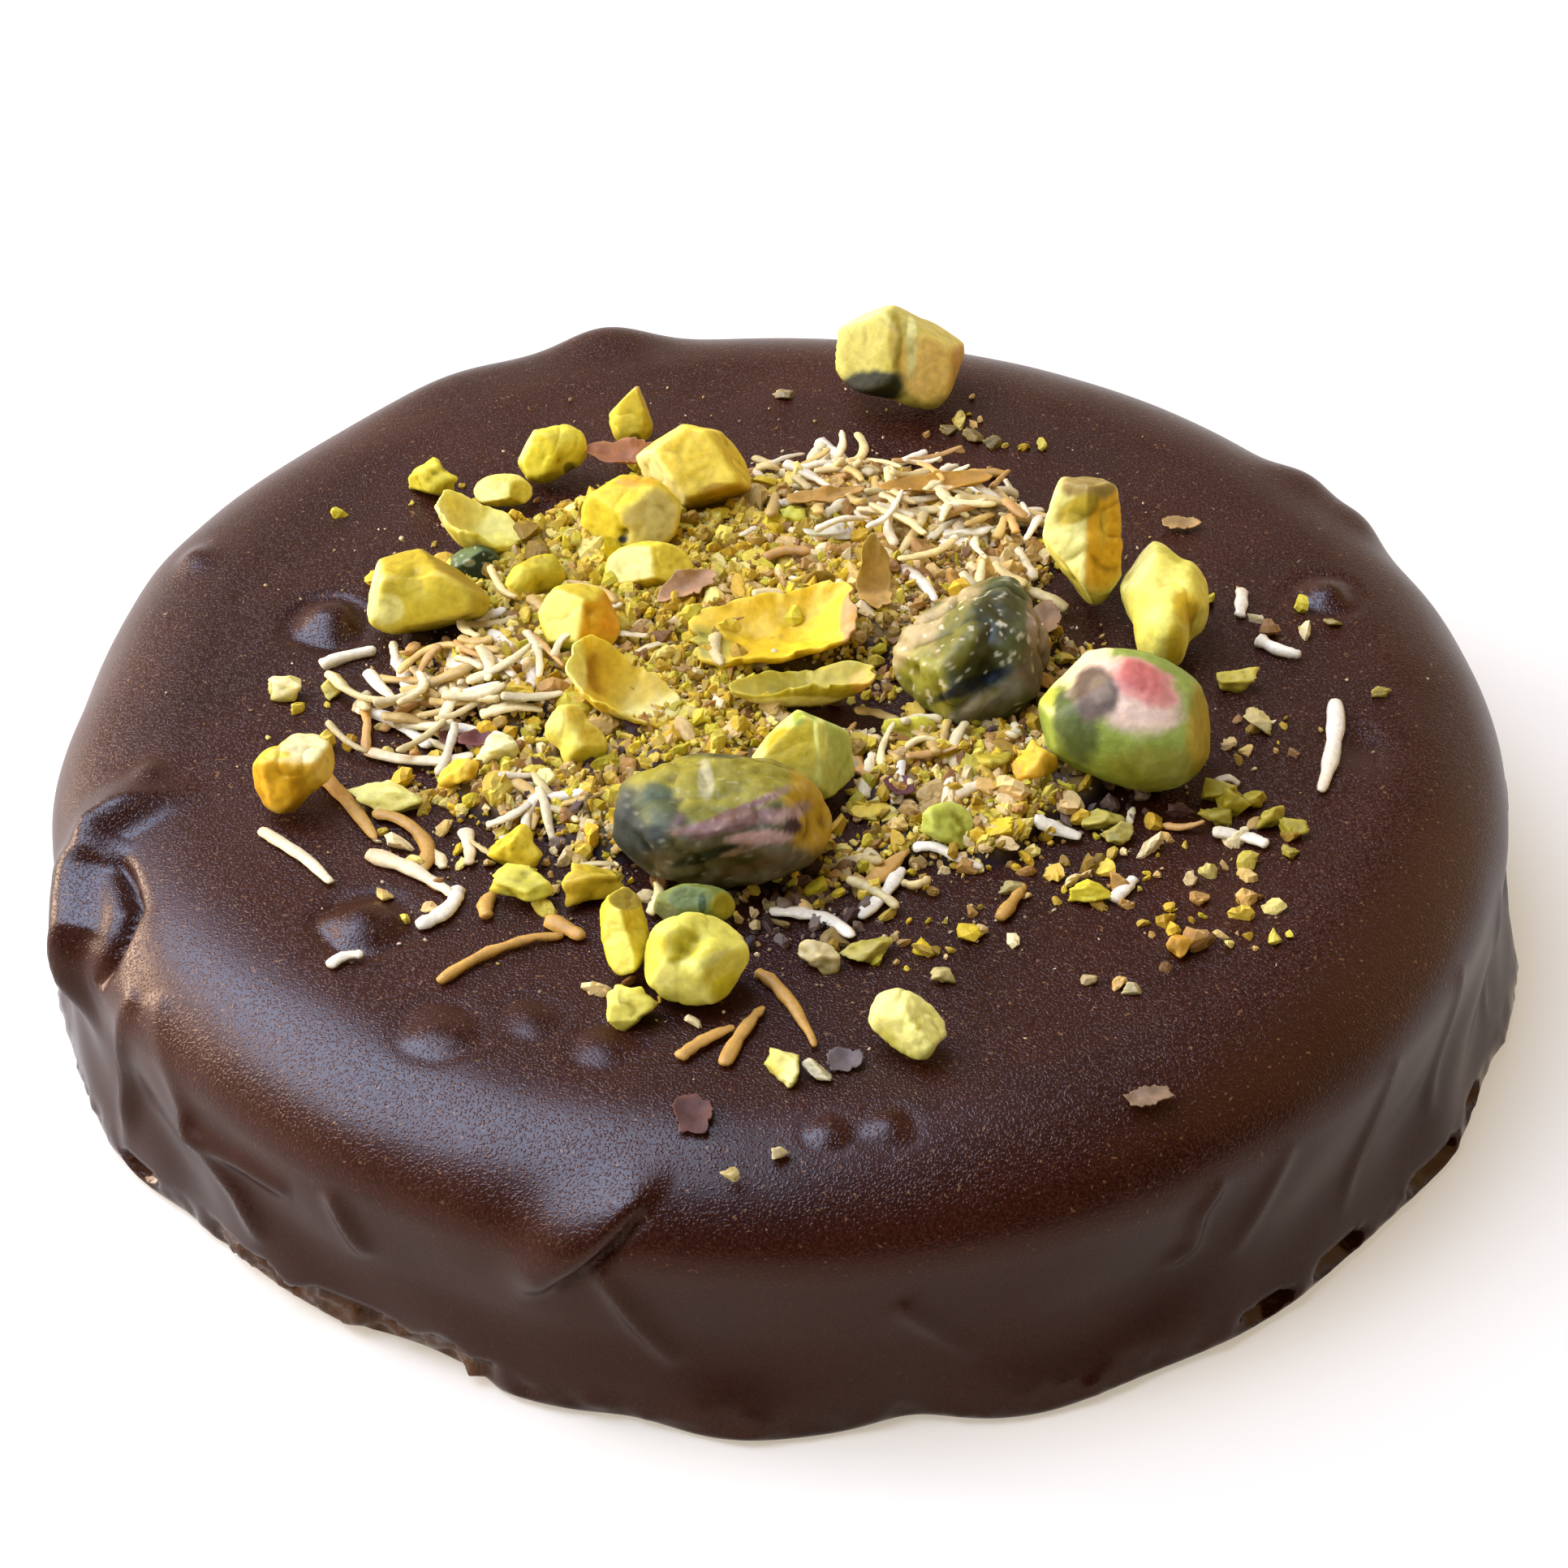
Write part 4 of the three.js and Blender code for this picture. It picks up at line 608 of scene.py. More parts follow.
def chocolate_material():
    """Dark couverture, poured and set: a satin brown skin, with a fine sugar bloom on the top that breaks
    its gleam into sparkles, tan dots on the top that are partly bloom dust and partly painted glints, and a
    smoother side where it ran down, wet-looking at the foot. The bloom is drawn a little coarser than it is."""
    material, tree = new_material("dark_couverture")
    place = add_node(tree, "TexCoord").outputs["Object"]
    tint = add_node(tree, "Attribute", attribute_name="tint").outputs["Color"]
    height = add_node(tree, "SeparateXYZ", {"Vector": place}).outputs["Z"]
    cloud = add_node(tree, "TexNoise", {"Vector": place, "Scale": per_metre(7), "Detail": 4}).outputs["Fac"]
    grain = add_node(tree, "TexNoise", {
        "Vector": place, "Scale": per_metre(0.14), "Detail": 1}).outputs["Fac"]
    swell = add_node(tree, "TexNoise", {"Vector": place, "Scale": per_metre(3), "Detail": 2}).outputs["Fac"]
    shade = add_node(tree, "MapRange", {"Value": cloud, "From Min": 0.3, "From Max": 0.7, "To Min": 0.85,
                                        "To Max": 1.15}).outputs["Result"]
    speck = add_node(tree, "MapRange", {"Value": grain, "From Min": 0.35, "From Max": 0.7, "To Min": 0.7,
                                        "To Max": 1.5}).outputs["Result"]
    both = add_node(tree, "Math", {0: shade, 1: speck}, operation="MULTIPLY").outputs["Value"]
    plain = add_node(tree, "VectorMath", {0: tint, "Scale": both}, operation="SCALE").outputs["Vector"]
    satin = add_node(tree, "MapRange", {
        "Value": height, "From Min": 8 * MM, "From Max": 12 * MM, "To Min": 0.33, "To Max": 0.31,
    }).outputs["Result"]
    wet = add_node(tree, "MapRange", {
        "Value": height, "From Min": 0.8 * MM, "From Max": 2.8 * MM, "To Min": 0.5, "To Max": 1.0,
    }).outputs["Result"]
    gloss = add_node(tree, "Math", {0: satin, 1: wet}, operation="MULTIPLY").outputs["Value"]
    on_top = add_node(tree, "MapRange", {
        "Value": height, "From Min": 9 * MM, "From Max": 13 * MM, "To Min": 0.1, "To Max": 1.0,
    }).outputs["Result"]
    dots = add_node(tree, "TexNoise", {"Vector": place, "Scale": per_metre(0.24), "Detail": 0}).outputs["Fac"]
    # Tan dots on the top: partly bloom dust, partly painted glints where the bloom sparkles.
    dust = add_node(tree, "MapRange", {"Value": dots, "From Min": 0.76, "From Max": 0.82}).outputs["Result"]
    dust_and_glint_share = add_node(tree, "Math", {0: dust, 1: on_top}, operation="MULTIPLY").outputs["Value"]
    colour = add_node(tree, "MixRGB", {
        "Fac": dust_and_glint_share, "Color1": plain, "Color2": (*linear("#6a4a30"), 1)}).outputs["Color"]
    wide = add_node(tree, "Bump", {"Height": swell, "Strength": 0.15, "Distance": 0.1 * MM}).outputs["Normal"]
    grains = add_node(tree, "MapRange", {"Value": grain, "From Min": 0.5, "From Max": 0.75}).outputs["Result"]
    fine = add_node(tree, "Bump", {
        "Height": grains, "Strength": on_top, "Distance": 0.024 * MM, "Normal": wide})
    shader = add_node(tree, "BsdfPrincipled", {
        "Base Color": colour, "Roughness": gloss, "IOR": 1.355, "Specular Tint": (1.0, 0.7, 0.54, 1),
        "Normal": fine.outputs["Normal"]})
    add_node(tree, "OutputMaterial", {"Surface": shader.outputs["BSDF"]})
    return material


def crumbly_material(name, roughness, grain_mm, relief_mm, glow):
    """A dry broken food: its own colours, mottled at grain size, dull, with a grainy surface."""
    material, tree = new_material(name)
    place = add_node(tree, "TexCoord").outputs["Object"]
    tint = add_node(tree, "Attribute", attribute_name="tint").outputs["Color"]
    grain = add_node(tree, "TexNoise", {
        "Vector": place, "Scale": per_metre(grain_mm), "Detail": 3}).outputs["Fac"]
    shade = add_node(tree, "MapRange", {"Value": grain, "From Min": 0.3, "From Max": 0.7, "To Min": 0.85,
                                        "To Max": 1.1}).outputs["Result"]
    colour = add_node(tree, "VectorMath", {0: tint, "Scale": shade}, operation="SCALE").outputs["Vector"]
    bump = add_node(tree, "Bump", {"Height": grain, "Strength": 0.5, "Distance": relief_mm * MM})
    shader = add_node(tree, "BsdfPrincipled", {
        "Base Color": colour, "Roughness": roughness, "IOR": 1.45, "Normal": bump.outputs["Normal"],
        "Specular IOR Level": 0.2, "Subsurface Weight": glow, "Subsurface Radius": (1.0, 0.92, 0.16),
        "Subsurface Scale": 1.0 * MM})
    add_node(tree, "OutputMaterial", {"Surface": shader.outputs["BSDF"]})
    return material


def turn_between(start, end):
    """Shortest turn from one angle to another, in degrees."""
    return (end - start + 540) % 360 - 180


def coat_round():
    """Even coat: a side outline of underside, rounded foot, wall, elliptical shoulder and top, turned
    once."""
    under = np.linspace(0, FOOT_RADIUS - FOOT_ROUND, 4)
    foot = np.linspace(0, math.pi / 2, 7)[1:]
    wall = np.linspace(FOOT_ROUND, HEIGHT - SHOULDER_DROP, 34)[1:-1]
    shoulder = np.linspace(0, math.pi / 2, 44)
    top = np.concatenate([np.linspace(RIM_RADIUS - SHOULDER_REACH, 22, 38)[1:], np.linspace(22, 0, 10)[1:]])
    radius = np.concatenate([
        under, FOOT_RADIUS - FOOT_ROUND * (1 - np.sin(foot)),
        FOOT_RADIUS + (RIM_RADIUS - FOOT_RADIUS) * smoothstep(FOOT_ROUND, 6, wall),
        RIM_RADIUS - SHOULDER_REACH * (1 - np.cos(shoulder)), top])
    height = np.concatenate([
        0 * under, FOOT_ROUND * (1 - np.cos(foot)), wall,
        HEIGHT - SHOULDER_DROP * (1 - np.sin(shoulder)), np.full(len(top), HEIGHT)])
    turn = np.arange(COAT_COLUMNS) * 2 * math.pi / COAT_COLUMNS
    return radius[:, None] + 0 * turn, height[:, None] + 0 * turn, turn + 0 * radius[:, None]


def on_side(angle, z):
    """Point of the even coat's side at an angle in degrees and a height: upright wall, then elliptical
    shoulder."""
    climb = max(z - (HEIGHT - SHOULDER_DROP), 0) / SHOULDER_DROP
    radius = RIM_RADIUS - SHOULDER_REACH * (1 - math.sqrt(max(1 - climb ** 2, 0)))
    return np.array([radius * math.cos(math.radians(angle)), radius * math.sin(math.radians(angle)), z])


def line_distance(points, path):
    """Distance from points to a bent line, and how far along the line its nearest place lies, from 0 to
    1."""
    nearest = np.full(points.shape[:-1], np.inf)
    along = np.zeros(points.shape[:-1])
    for number, (start, end) in enumerate(zip(path[:-1], path[1:])):
        stretch = end - start
        share = np.clip((points - start) @ stretch / (stretch @ stretch), 0, 1)
        distance = np.linalg.norm(points - start - share[..., None] * stretch, axis=-1)
        along = np.where(distance < nearest, (number + share) / (len(path) - 1), along)
        nearest = np.minimum(nearest, distance)
    return nearest, along


def ledge_rise(points, path, drop, reach, face):
    """Step of one pour over another: full height just past the edge, on the right hand, and sloping back
    from it."""
    nearest = np.full(points.shape[:-1], np.inf)
    past_edge = np.zeros(points.shape[:-1])
    core = np.array([0, 0, HEIGHT - SHOULDER_DROP])
    for start, end in zip(path[:-1], path[1:]):
        stretch = end - start
        share = np.clip((points - start) @ stretch / (stretch @ stretch), 0, 1)
        away = points - start - share[..., None] * stretch
        right_hand = unit(np.cross(stretch, (start + end) / 2 - core))
        distance = np.linalg.norm(away, axis=-1)
        past_edge = np.where(distance < nearest, away @ right_hand, past_edge)
        nearest = np.minimum(nearest, distance)
    return drop * smoothstep(-face, 0.2, past_edge) * np.exp(-(nearest / reach) ** 2)


def bare_share(angle, z):
    """How bare of coat the foot is: 1 on the broken strip, with a ragged upper edge, and 0 elsewhere."""
    middle, half_width, top = BARE_STRIP
    ragged = 0.5 * noise(np.stack([angle, 0 * angle, 0 * angle], -1), 2.5, 8)
    window = smoothstep(half_width, half_width - 3, np.abs(turn_between(middle, angle)))
    return window * smoothstep(0.25, -0.25, z - top - ragged)


def side_offset(angle, z):
    """How far the side stands out from its even round at an angle in degrees and a height: a lopsided foot
    with lobes, gaps and a broken strip, slanted curtain ridges on the wall and one flattened stretch."""
    near_foot = np.exp(-(z / 3.2) ** 2)
    offset = 0.35 * np.cos(np.radians(angle + 40)) * near_foot
    for lobe_angle, half_width, reach in FOOT_LOBES:
        offset = offset + reach * near_foot * np.exp(-(turn_between(lobe_angle, angle) / half_width) ** 2)
    for gap_angle, half_width, top, depth in FOOT_GAPS:
        away = (turn_between(gap_angle, angle) / half_width) ** 2 + ((z - 1.2) / top) ** 2
        offset = offset - depth * smoothstep(1.3, 0.7, away)
    slant = np.radians(angle - 2.6 * np.cos(np.radians(angle)) * z)
    on_wall = np.exp(-((z - 5.5) / 4) ** 2)
    offset = offset + RIDGE_DEPTH * on_wall * (np.sin(17 * slant + 0.6) + 0.8 * np.sin(29 * slant + 2.1))
    offset = offset - 0.6 * bare_share(angle, z)
    return offset - 1.1 * np.exp(-(turn_between(172, angle) / 13) ** 2) * z / HEIGHT


def coat_rise(even, angle):
    """How far the coat stands off its even shape: unevenness, lumps, folds, blisters and a crumbly foot."""
    rise = 0.1 * noise(even, 11, 3) + 0.05 * noise(even, 4, 5)
    for at, way, length, width, top in COAT_LUMPS:
        away = even - np.array(at)
        along = away @ unit(way)
        across = np.sum(away ** 2, axis=-1) - along ** 2
        rise = rise + top * np.exp(-(along / length) ** 2 - across / width ** 2)
    for path, width, top in COAT_FOLDS:
        distance, along = line_distance(even, [on_side(*place) for place in path])
        taper = np.sqrt(np.clip(np.sin(math.pi * along), 0, 1))
        rise = rise + top * taper / (1 + (distance / width) ** 2) ** 2
    for path, *shape in COAT_LEDGES:
        rise = rise + ledge_rise(even, [on_side(*place) for place in path], *shape)
    z = even[..., 2]
    for x, y, radius, top in BLISTERS:
        away = np.hypot(even[..., 0] - x, even[..., 1] - y) / radius + 0.22 * noise(even, 1.3, 9)
        dome = np.clip(1 - away ** 2, 0, 1) ** 1.5 - 0.18 * np.exp(-((away - 1.15) / 0.22) ** 2)
        rise = rise + top * dome * (z > HEIGHT - SHOULDER_DROP)
    crumbly = 0.2 * smoothstep(2.5, 0.8, z) + 0.5 * bare_share(angle, z)
    return rise + crumbly * (noise(even, 1.3, 6) + 0.6 * noise(even, 0.6, 7))


def coat_skin():
    """Uneven coat: radial offsets on the side, then the coat's own rise along the even coat's normal."""
    radius, height, turn = coat_round()
    outward = np.stack([np.cos(turn), np.sin(turn), 0 * turn], -1)
    even = outward * radius[..., None]
    even[..., 2] = height
    share = smoothstep(FLAT_TOP_RADIUS, RIM_RADIUS - 1, radius)
    points = even + outward * (share * side_offset(np.degrees(turn), height))[..., None]
    lean = np.clip((radius - (RIM_RADIUS - SHOULDER_REACH)) / SHOULDER_REACH, 0, 1)
    upward = np.where(height > HEIGHT - SHOULDER_DROP, np.sqrt(1 - lean ** 2), 0)
    normal = outward * np.sqrt(1 - upward ** 2)[..., None]
    normal[..., 2] = upward
    above_foot = smoothstep(0.2, FOOT_ROUND, height)
    points = points + normal * (coat_rise(even, np.degrees(turn)) * above_foot)[..., None]
    return points[None]


def coat_tints(skins):
    """Coat colour: dark brown, lighter in soft clouds, darkened down the wall as painted shade, and crumbly
    biscuit on the bare strip."""
    cloud = 0.5 + 0.5 * mottle(skins, 14, 21)
    coat = mixed(linear("#2a0f07"), linear("#341609"), cloud)
    # Painted shade: below 8 mm the wall's brown is two thirds of the top's, rising to full by 12 mm.
    coat = coat * (0.65 + 0.35 * smoothstep(8, 12, skins[..., 2]))[..., None]
    angle = np.degrees(np.arctan2(skins[..., 1], skins[..., 0]))
    crumb = mixed(linear("#1c0f08"), linear("#52341d"), 0.5 + 0.5 * mottle(skins, 1.2, 22))
    return mixed(coat, crumb, bare_share(angle, skins[..., 2]))


def coat_height(x, y):
    """Height of the even coat at a place: flat top, then a quarter ellipse down to the rim."""
    lean = np.clip((np.hypot(x, y) - (RIM_RADIUS - SHOULDER_REACH)) / SHOULDER_REACH, 0, 1)
    return HEIGHT - SHOULDER_DROP * (1 - np.sqrt(1 - lean ** 2))


def bed_radius(angle):
    """Outline of the meal bed at an angle: wider at the back, ragged all round."""
    ragged = 0.8 * np.sin(7 * angle + 1) + 0.5 * np.sin(11 * angle)
    return BED_RADIUS + 2.2 * np.sin(angle) + 0.9 * np.cos(2 * angle) + ragged


def meal_zones(x, y):
    """How thickly the meal lies at a place before it frays, and the share of pastry in it there."""
    cover = 0
    baked = 0
    for zone_x, zone_y, half_x, half_y, weight, pastry_share in MEAL_ZONES:
        heap = weight * np.exp(-((x - zone_x) / half_x) ** 2 - ((y - zone_y) / half_y) ** 2)
        cover = cover + heap
        baked = baked + pastry_share * heap
    return cover, baked / np.maximum(cover, 0.001)


def meal_cover(x, y):
    """How thickly the meal lies at a place, from 0 to 1: soft zones added up and frayed by noise."""
    place = np.stack([x, y, 0 * x], -1)
    inside = smoothstep(0, 3, bed_radius(np.arctan2(y, x)) - np.hypot(x, y))
    return np.clip(meal_zones(x, y)[0] - 0.1 + 0.35 * mottle(place, 3, 31), 0, 1) * inside


def bed_height(x, y):
    """Top of the meal bed: sunk in the coat where it is bare, higher where the meal is thick, pebbled
    with grains."""
    place = np.stack([x, y, 0 * x], -1)
    cover = meal_cover(x, y)
    pebbles = 0.22 * np.abs(noise(place, 0.9, 41)) + 0.12 * np.abs(noise(place, 0.5, 42))
    depth = (BED_DEPTH + pebbles) * np.clip(1.3 * cover, 0, 1)
    return HEIGHT - 0.35 + (0.35 + depth) * smoothstep(0.15, 0.5, cover)


def bed_skin():
    """Bed of meal: a flat underside and a pebbled top over the same ragged outline, on rings drawn
    inwards."""
    turn = np.arange(BED_COLUMNS) * 2 * math.pi / BED_COLUMNS
    share = np.concatenate([np.linspace(0, 1, 5), np.linspace(1, 0, 120)])[:, None]
    radius = share * bed_radius(turn)
    x, y = radius * np.cos(turn), radius * np.sin(turn)
    top = np.arange(len(share))[:, None] >= 5
    z = np.where(top, bed_height(x, y), HEIGHT - 0.2)
    return np.stack([x, y, z], -1)[None]


def bed_tints(skins):
    """Bed colour: chocolate where the meal is thin, and yellow nut dust or tan pastry dust where it is
    thick, its browns darker than the grains as painted shade in the gaps between them."""
    cover = meal_cover(skins[..., 0], skins[..., 1])
    grain = 0.5 + 0.5 * mottle(skins, 1.1, 51)
    # Painted shade: the bed's nut and pastry colours run darker than the grains, for the gaps between them.
    nutty = mixed(linear("#463615"), linear("#a8882a"), grain)
    baked = mixed(linear("#402e1a"), linear("#947a54"), grain)
    pastry_share = meal_zones(skins[..., 0], skins[..., 1])[1]
    return mixed(linear(COCOA), mixed(nutty, baked, pastry_share), smoothstep(0.35, 0.7, cover))


def fitted(points, node):
    """Points stretched along X, Y and Z to fill a solid's box."""
    low, high = (np.array(corner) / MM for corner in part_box(node))
    flat = points.reshape(-1, 3)
    return low + (points - flat.min(0)) / np.ptp(flat, axis=0) * (high - low)


def chip_faces(seed, deepest, spread):
    """Small flat chips all round a piece: directions on a golden spiral, each at its own share of the way
    out."""
    number = np.arange(CHIPS)
    climb = 1 - (2 * number + 1) / CHIPS
    turn = number * GOLDEN_ANGLE + seed
    level = np.sqrt(1 - climb ** 2)
    share = deepest + spread * ((number * 0.618 + seed * 0.37) % 1)
    return np.stack([level * np.cos(turn), level * np.sin(turn), climb], -1), share


def nut_skin(half, lobes, facets, dents, seed, rough):
    """Chopped nut: for each direction the farthest lobe sphere stretched to the box, limited by flat
    facets and chips, less rounded dents, then roughened. Also gives each limit's share in a point: body,
    facets, chips."""
    direction = sphere_grid(*NUT_GRID)
    stretched = direction / half
    length = np.linalg.norm(stretched, axis=-1)
    reaches = []
    for *centre, radius in lobes:
        along = stretched @ np.array(centre) / length
        reaches.append(along + np.sqrt(np.maximum(along ** 2 - np.dot(centre, centre) + radius ** 2, 0)))
    limits = [smooth_max(reaches, LOBE_SHARPNESS) / length]
    chips, chip_shares = chip_faces(seed, *NUT_CHIPPING)
    normals = [seen(across, up) for across, up, *rest in facets] + list(chips)
    shares = [facet[2] for facet in facets] + list(chip_shares)
    for normal, share in zip(normals, shares):
        farthest = np.linalg.norm(half * normal)
        limits.append(share * farthest / np.maximum(direction @ normal, 0.05))
    fineness = min(1, min(half) / 2.4)
    sharpness = EDGE_SHARPNESS / fineness
    reach = -smooth_max([-limit for limit in limits], sharpness)
    weights = np.exp(-sharpness * (np.stack(limits) - reach))
    for across, up, spread, depth in dents:
        turn = np.arccos(np.clip(direction @ seen(across, up), -1, 1))
        reach = reach * (1 - depth * np.exp(-(turn / spread) ** 2))
    points = direction * reach[..., None]
    scaled = points / fineness
    crease = (1 - np.abs(noise(scaled, 1.5, 270 + seed))) ** 4
    uneven = 0.16 * mottle(scaled, 2.2, 70 + seed) - 0.15 * crease + 0.07 * noise(scaled, 0.5, 170 + seed)
    return points + direction * (rough * fineness * uneven)[..., None], weights


def edge_share(points):
    """How far each point of a grid stands out from its neighbours a few cells away, in millimetres."""
    step = 3
    padded = np.pad(points, ((step, step), (0, 0), (0, 0)), mode="edge")
    beside = np.roll(points, step, 1) + np.roll(points, -step, 1)
    around = (padded[:-2 * step] + padded[2 * step:] + beside) / 4
    middle = points.reshape(-1, 3).mean(0)
    outward = points - middle
    outward = outward / np.linalg.norm(outward, axis=-1, keepdims=True)
    return np.sum((points - around) * outward, axis=-1)


def facet_tints(weights, flesh, facets):
    """Each point's colour from the faces it lies on: flesh for the body, own colours for facets, mixed
    for chips."""
    colours = [linear(flesh)] + [linear(facet[3]) for facet in facets]
    chips = 0.8 + 0.4 * ((np.arange(CHIPS) * 0.618) % 1)
    colours = np.concatenate([colours, chips[:, None] * linear(flesh)])
    return np.einsum("frc,fk->rck", weights, colours)


def patched(tints, points, patches, seed):
    """Colours with patches laid over them: sheared ellipses with ragged borders, placed on the piece's
    picture from the camera's side as shares of its half width and half height."""
    sine, cosine = math.sin(CAMERA_ELEVATION), math.cos(CAMERA_ELEVATION)
    axes = np.array([[1, 0, 0], [0, sine, cosine], [0, -cosine, sine]])
    picture = points @ axes.T
    flat = picture.reshape(-1, 3)
    low, high = flat.min(0), flat.max(0)
    across, up, toward = np.moveaxis((2 * picture - low - high) / (high - low), -1, 0)
    wander = 0.25 * mottle(points, 0.9, seed)
    for patch_across, patch_up, half_width, half_height, *shear, colour in patches:
        climb = up - patch_up - sum(shear) * (across - patch_across)
        away = np.hypot((across - patch_across) / half_width, climb / half_height) + wander
        tints = mixed(tints, linear(colour), smoothstep(1.25, 0.8, away) * smoothstep(-0.6, -0.2, toward))
    return tints


def paint_light_shade_and_mottle(tints, points, specks, seed):
    """Colours with painted light and shade and their own mottling: painted highlights paler on broken edges,
    painted shade deeper in hollows and toward the underside, deeper in soft clouds, and flecked with pale
    specks."""
    edge = edge_share(points)
    height = points[..., 2] - points[..., 2].mean()
    underside = smoothstep(0.0, -0.8, height / np.ptp(height) * 2)
    # Painted shade: darker and more olive toward the underside.
    tints = mixed(tints, tints * np.array([0.6, 0.6, 0.3]), underside)
    # Painted highlight: broken edges made paler.
    tints = mixed(tints, np.minimum(1.2 * tints + 0.05, 0.9), 0.4 * smoothstep(0.02, 0.12, edge))
    # Painted shade: hollows made deeper and more golden.
    tints = mixed(tints, tints * np.array([0.55, 0.5, 0.18]), smoothstep(0.0, -0.12, edge))
    cloud = smoothstep(0.1, 0.6, mottle(points, 2.2, seed + 5))
    tints = mixed(tints, tints * np.array([0.76, 0.74, 0.4]), cloud)
    fleck = smoothstep(0.55, 0.75, noise(points, 0.26, seed + 6))
    return mixed(tints, linear("#cfcab0"), specks * fleck)


def dish_skin(half, square, turn, rims, thick, grid, ragged):
    """Dished shaving: a flattened sphere whose middle sheet has a rounded-square outline, torn a little,
    and a rim that rises with the square of the way out, to its own height on each side; the sheet is
    thickened along its normal."""
    direction = sphere_grid(*grid)
    out = np.linalg.norm(direction[..., :2], axis=-1)
    angle = np.arange(grid[1])[None, :] * 2 * math.pi / grid[1] + 0 * out
    cosine, sine = np.cos(angle), np.sin(angle)
    reach = (np.abs(cosine / half[0]) ** square + np.abs(sine / half[1]) ** square) ** (-1 / square)
    round_edge = np.stack([3 * cosine, 3 * sine, 0 * sine + sum(rims)], -1)
    torn = ragged * (noise(round_edge, 1.1, 97) + noise(round_edge, 0.4, 98))
    right, back, left, front = rims
    rim = np.where(cosine > 0, right, left) * cosine ** 2 + np.where(sine > 0, back, front) * sine ** 2
    way = reach * out * (1 + torn * out ** 6)
    middle = np.stack([way * cosine, way * sine, rim * out ** 2], -1)
    slope = 2 * rim * out / reach
    normal = np.stack([-slope * cosine, -slope * sine, np.ones_like(slope)], -1)
    normal = normal / np.linalg.norm(normal, axis=-1, keepdims=True)
    height = np.sign(direction[..., 2]) * np.abs(direction[..., 2]) ** 0.6
    points = middle + normal * (0.5 * thick * height)[..., None]
    swing = math.radians(turn)
    x = points[..., 0] * math.cos(swing) - points[..., 1] * math.sin(swing)
    y = points[..., 0] * math.sin(swing) + points[..., 1] * math.cos(swing)
    return np.stack([x, y, points[..., 2]], -1)


def random_turns(count, random):
    """Random rotation matrices, from unit quaternions drawn evenly."""
    w, x, y, z = (random.normal(size=(count, 4)).T)
    size = np.sqrt(w * w + x * x + y * y + z * z)
    w, x, y, z = w / size, x / size, y / size, z / size
    rows = [[1 - 2 * (y * y + z * z), 2 * (x * y - w * z), 2 * (x * z + w * y)],
            [2 * (x * y + w * z), 1 - 2 * (x * x + z * z), 2 * (y * z - w * x)],
            [2 * (x * z - w * y), 2 * (y * z + w * x), 1 - 2 * (x * x + y * y)]]
    return np.moveaxis(np.array(rows), -1, 0)


def crumb_skins(places, sizes, rows, columns, random):
    """Crumbs: spheres chopped deep by random planes and set at their places. Sizes are one for each
    crumb, which is then stretched and turned at random, or three along X, Y and Z."""
    count, planes = len(places), 9 if sizes.ndim == 1 else 16
    normals = random.normal(size=(count, planes, 3))
    normals = normals / np.linalg.norm(normals, axis=-1, keepdims=True)
    shares = random.uniform(0.25, 0.8, (count, planes))
    direction = sphere_grid(rows, columns)
    reach = np.ones((count, rows, columns))
    for plane in range(planes):
        facing = np.einsum("rcj,nj->nrc", direction, normals[:, plane])
        reach = np.minimum(reach, shares[:, plane, None, None] / np.maximum(facing, 0.05))
    reach = reach / reach.mean((1, 2), keepdims=True)
    skins = direction[None] * reach[..., None]
    skins = skins * (1 + 0.14 * noise(skins + 10 * normals[:, :1, None, :], 0.5, 63))[..., None]
    if sizes.ndim == 2:
        return skins * (sizes / np.ptp(skins, axis=(1, 2)))[:, None, None, :] + places[:, None, None, :]
    skins = skins * random.uniform(0.6, 1.4, (count, 1, 1, 3)) * sizes[:, None, None, None] / 2
    return np.einsum("nij,nrcj->nrci", random_turns(count, random), skins) + places[:, None, None, :]


def spread_tints(skins, colours, random):
    """One colour for each skin, drawn from a list and varied a little in brightness."""
    palette = np.array([linear(colour) for colour in colours])
    tints = palette[random.integers(0, len(palette), len(skins))] * random.uniform(0.75, 1.2, (len(skins), 1))
    return np.broadcast_to(np.clip(tints, 0, 0.95)[:, None, None, :], skins.shape)


def toasted(skins, tints, random):
    """Thread colours, mottled along each thread and browner toward one or both of its ends."""
    along = np.linspace(-1, 1, skins.shape[1])[None, :, None]
    lean = random.uniform(-0.7, 0.7, (len(skins), 1, 1))
    share = random.uniform(0, 0.45, (len(skins), 1, 1)) * smoothstep(0.5, 1.4, np.abs(along + lean))
    tints = mixed(tints, linear(TOAST), share + np.zeros(skins.shape[:-1]))
    return tints * (1 + 0.2 * noise(skins, 0.9, 64))[..., None]


def meal_tints(skins, random):
    """One colour for each crumb, from the nut or the pastry colours by the share of pastry where it
    lies."""
    middle = skins.mean((1, 2))
    baked = random.uniform(0, 1, len(skins)) < meal_zones(middle[:, 0], middle[:, 1])[1]
    nutty, pastry_like = spread_tints(skins, NUT_MEAL, random), spread_tints(skins, PASTRY_MEAL, random)
    return np.where(baked[:, None, None, None], pastry_like, nutty)


def under_nut(x, y):
    """Is a place covered by a pistachio piece? An ellipse in each solid's box is asked."""
    covered = np.zeros(x.shape, bool)
    for name in [*NUTS, *SHAVINGS]:
        low, high = (np.array(corner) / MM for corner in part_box("pistachio_" + name))
        middle, half = (low + high) / 2, (high - low) / 2
        share = 0.75 if name in NUTS else 0.3
        covered |= ((x - middle[0]) / half[0]) ** 2 + ((y - middle[1]) / half[1]) ** 2 < share
    return covered


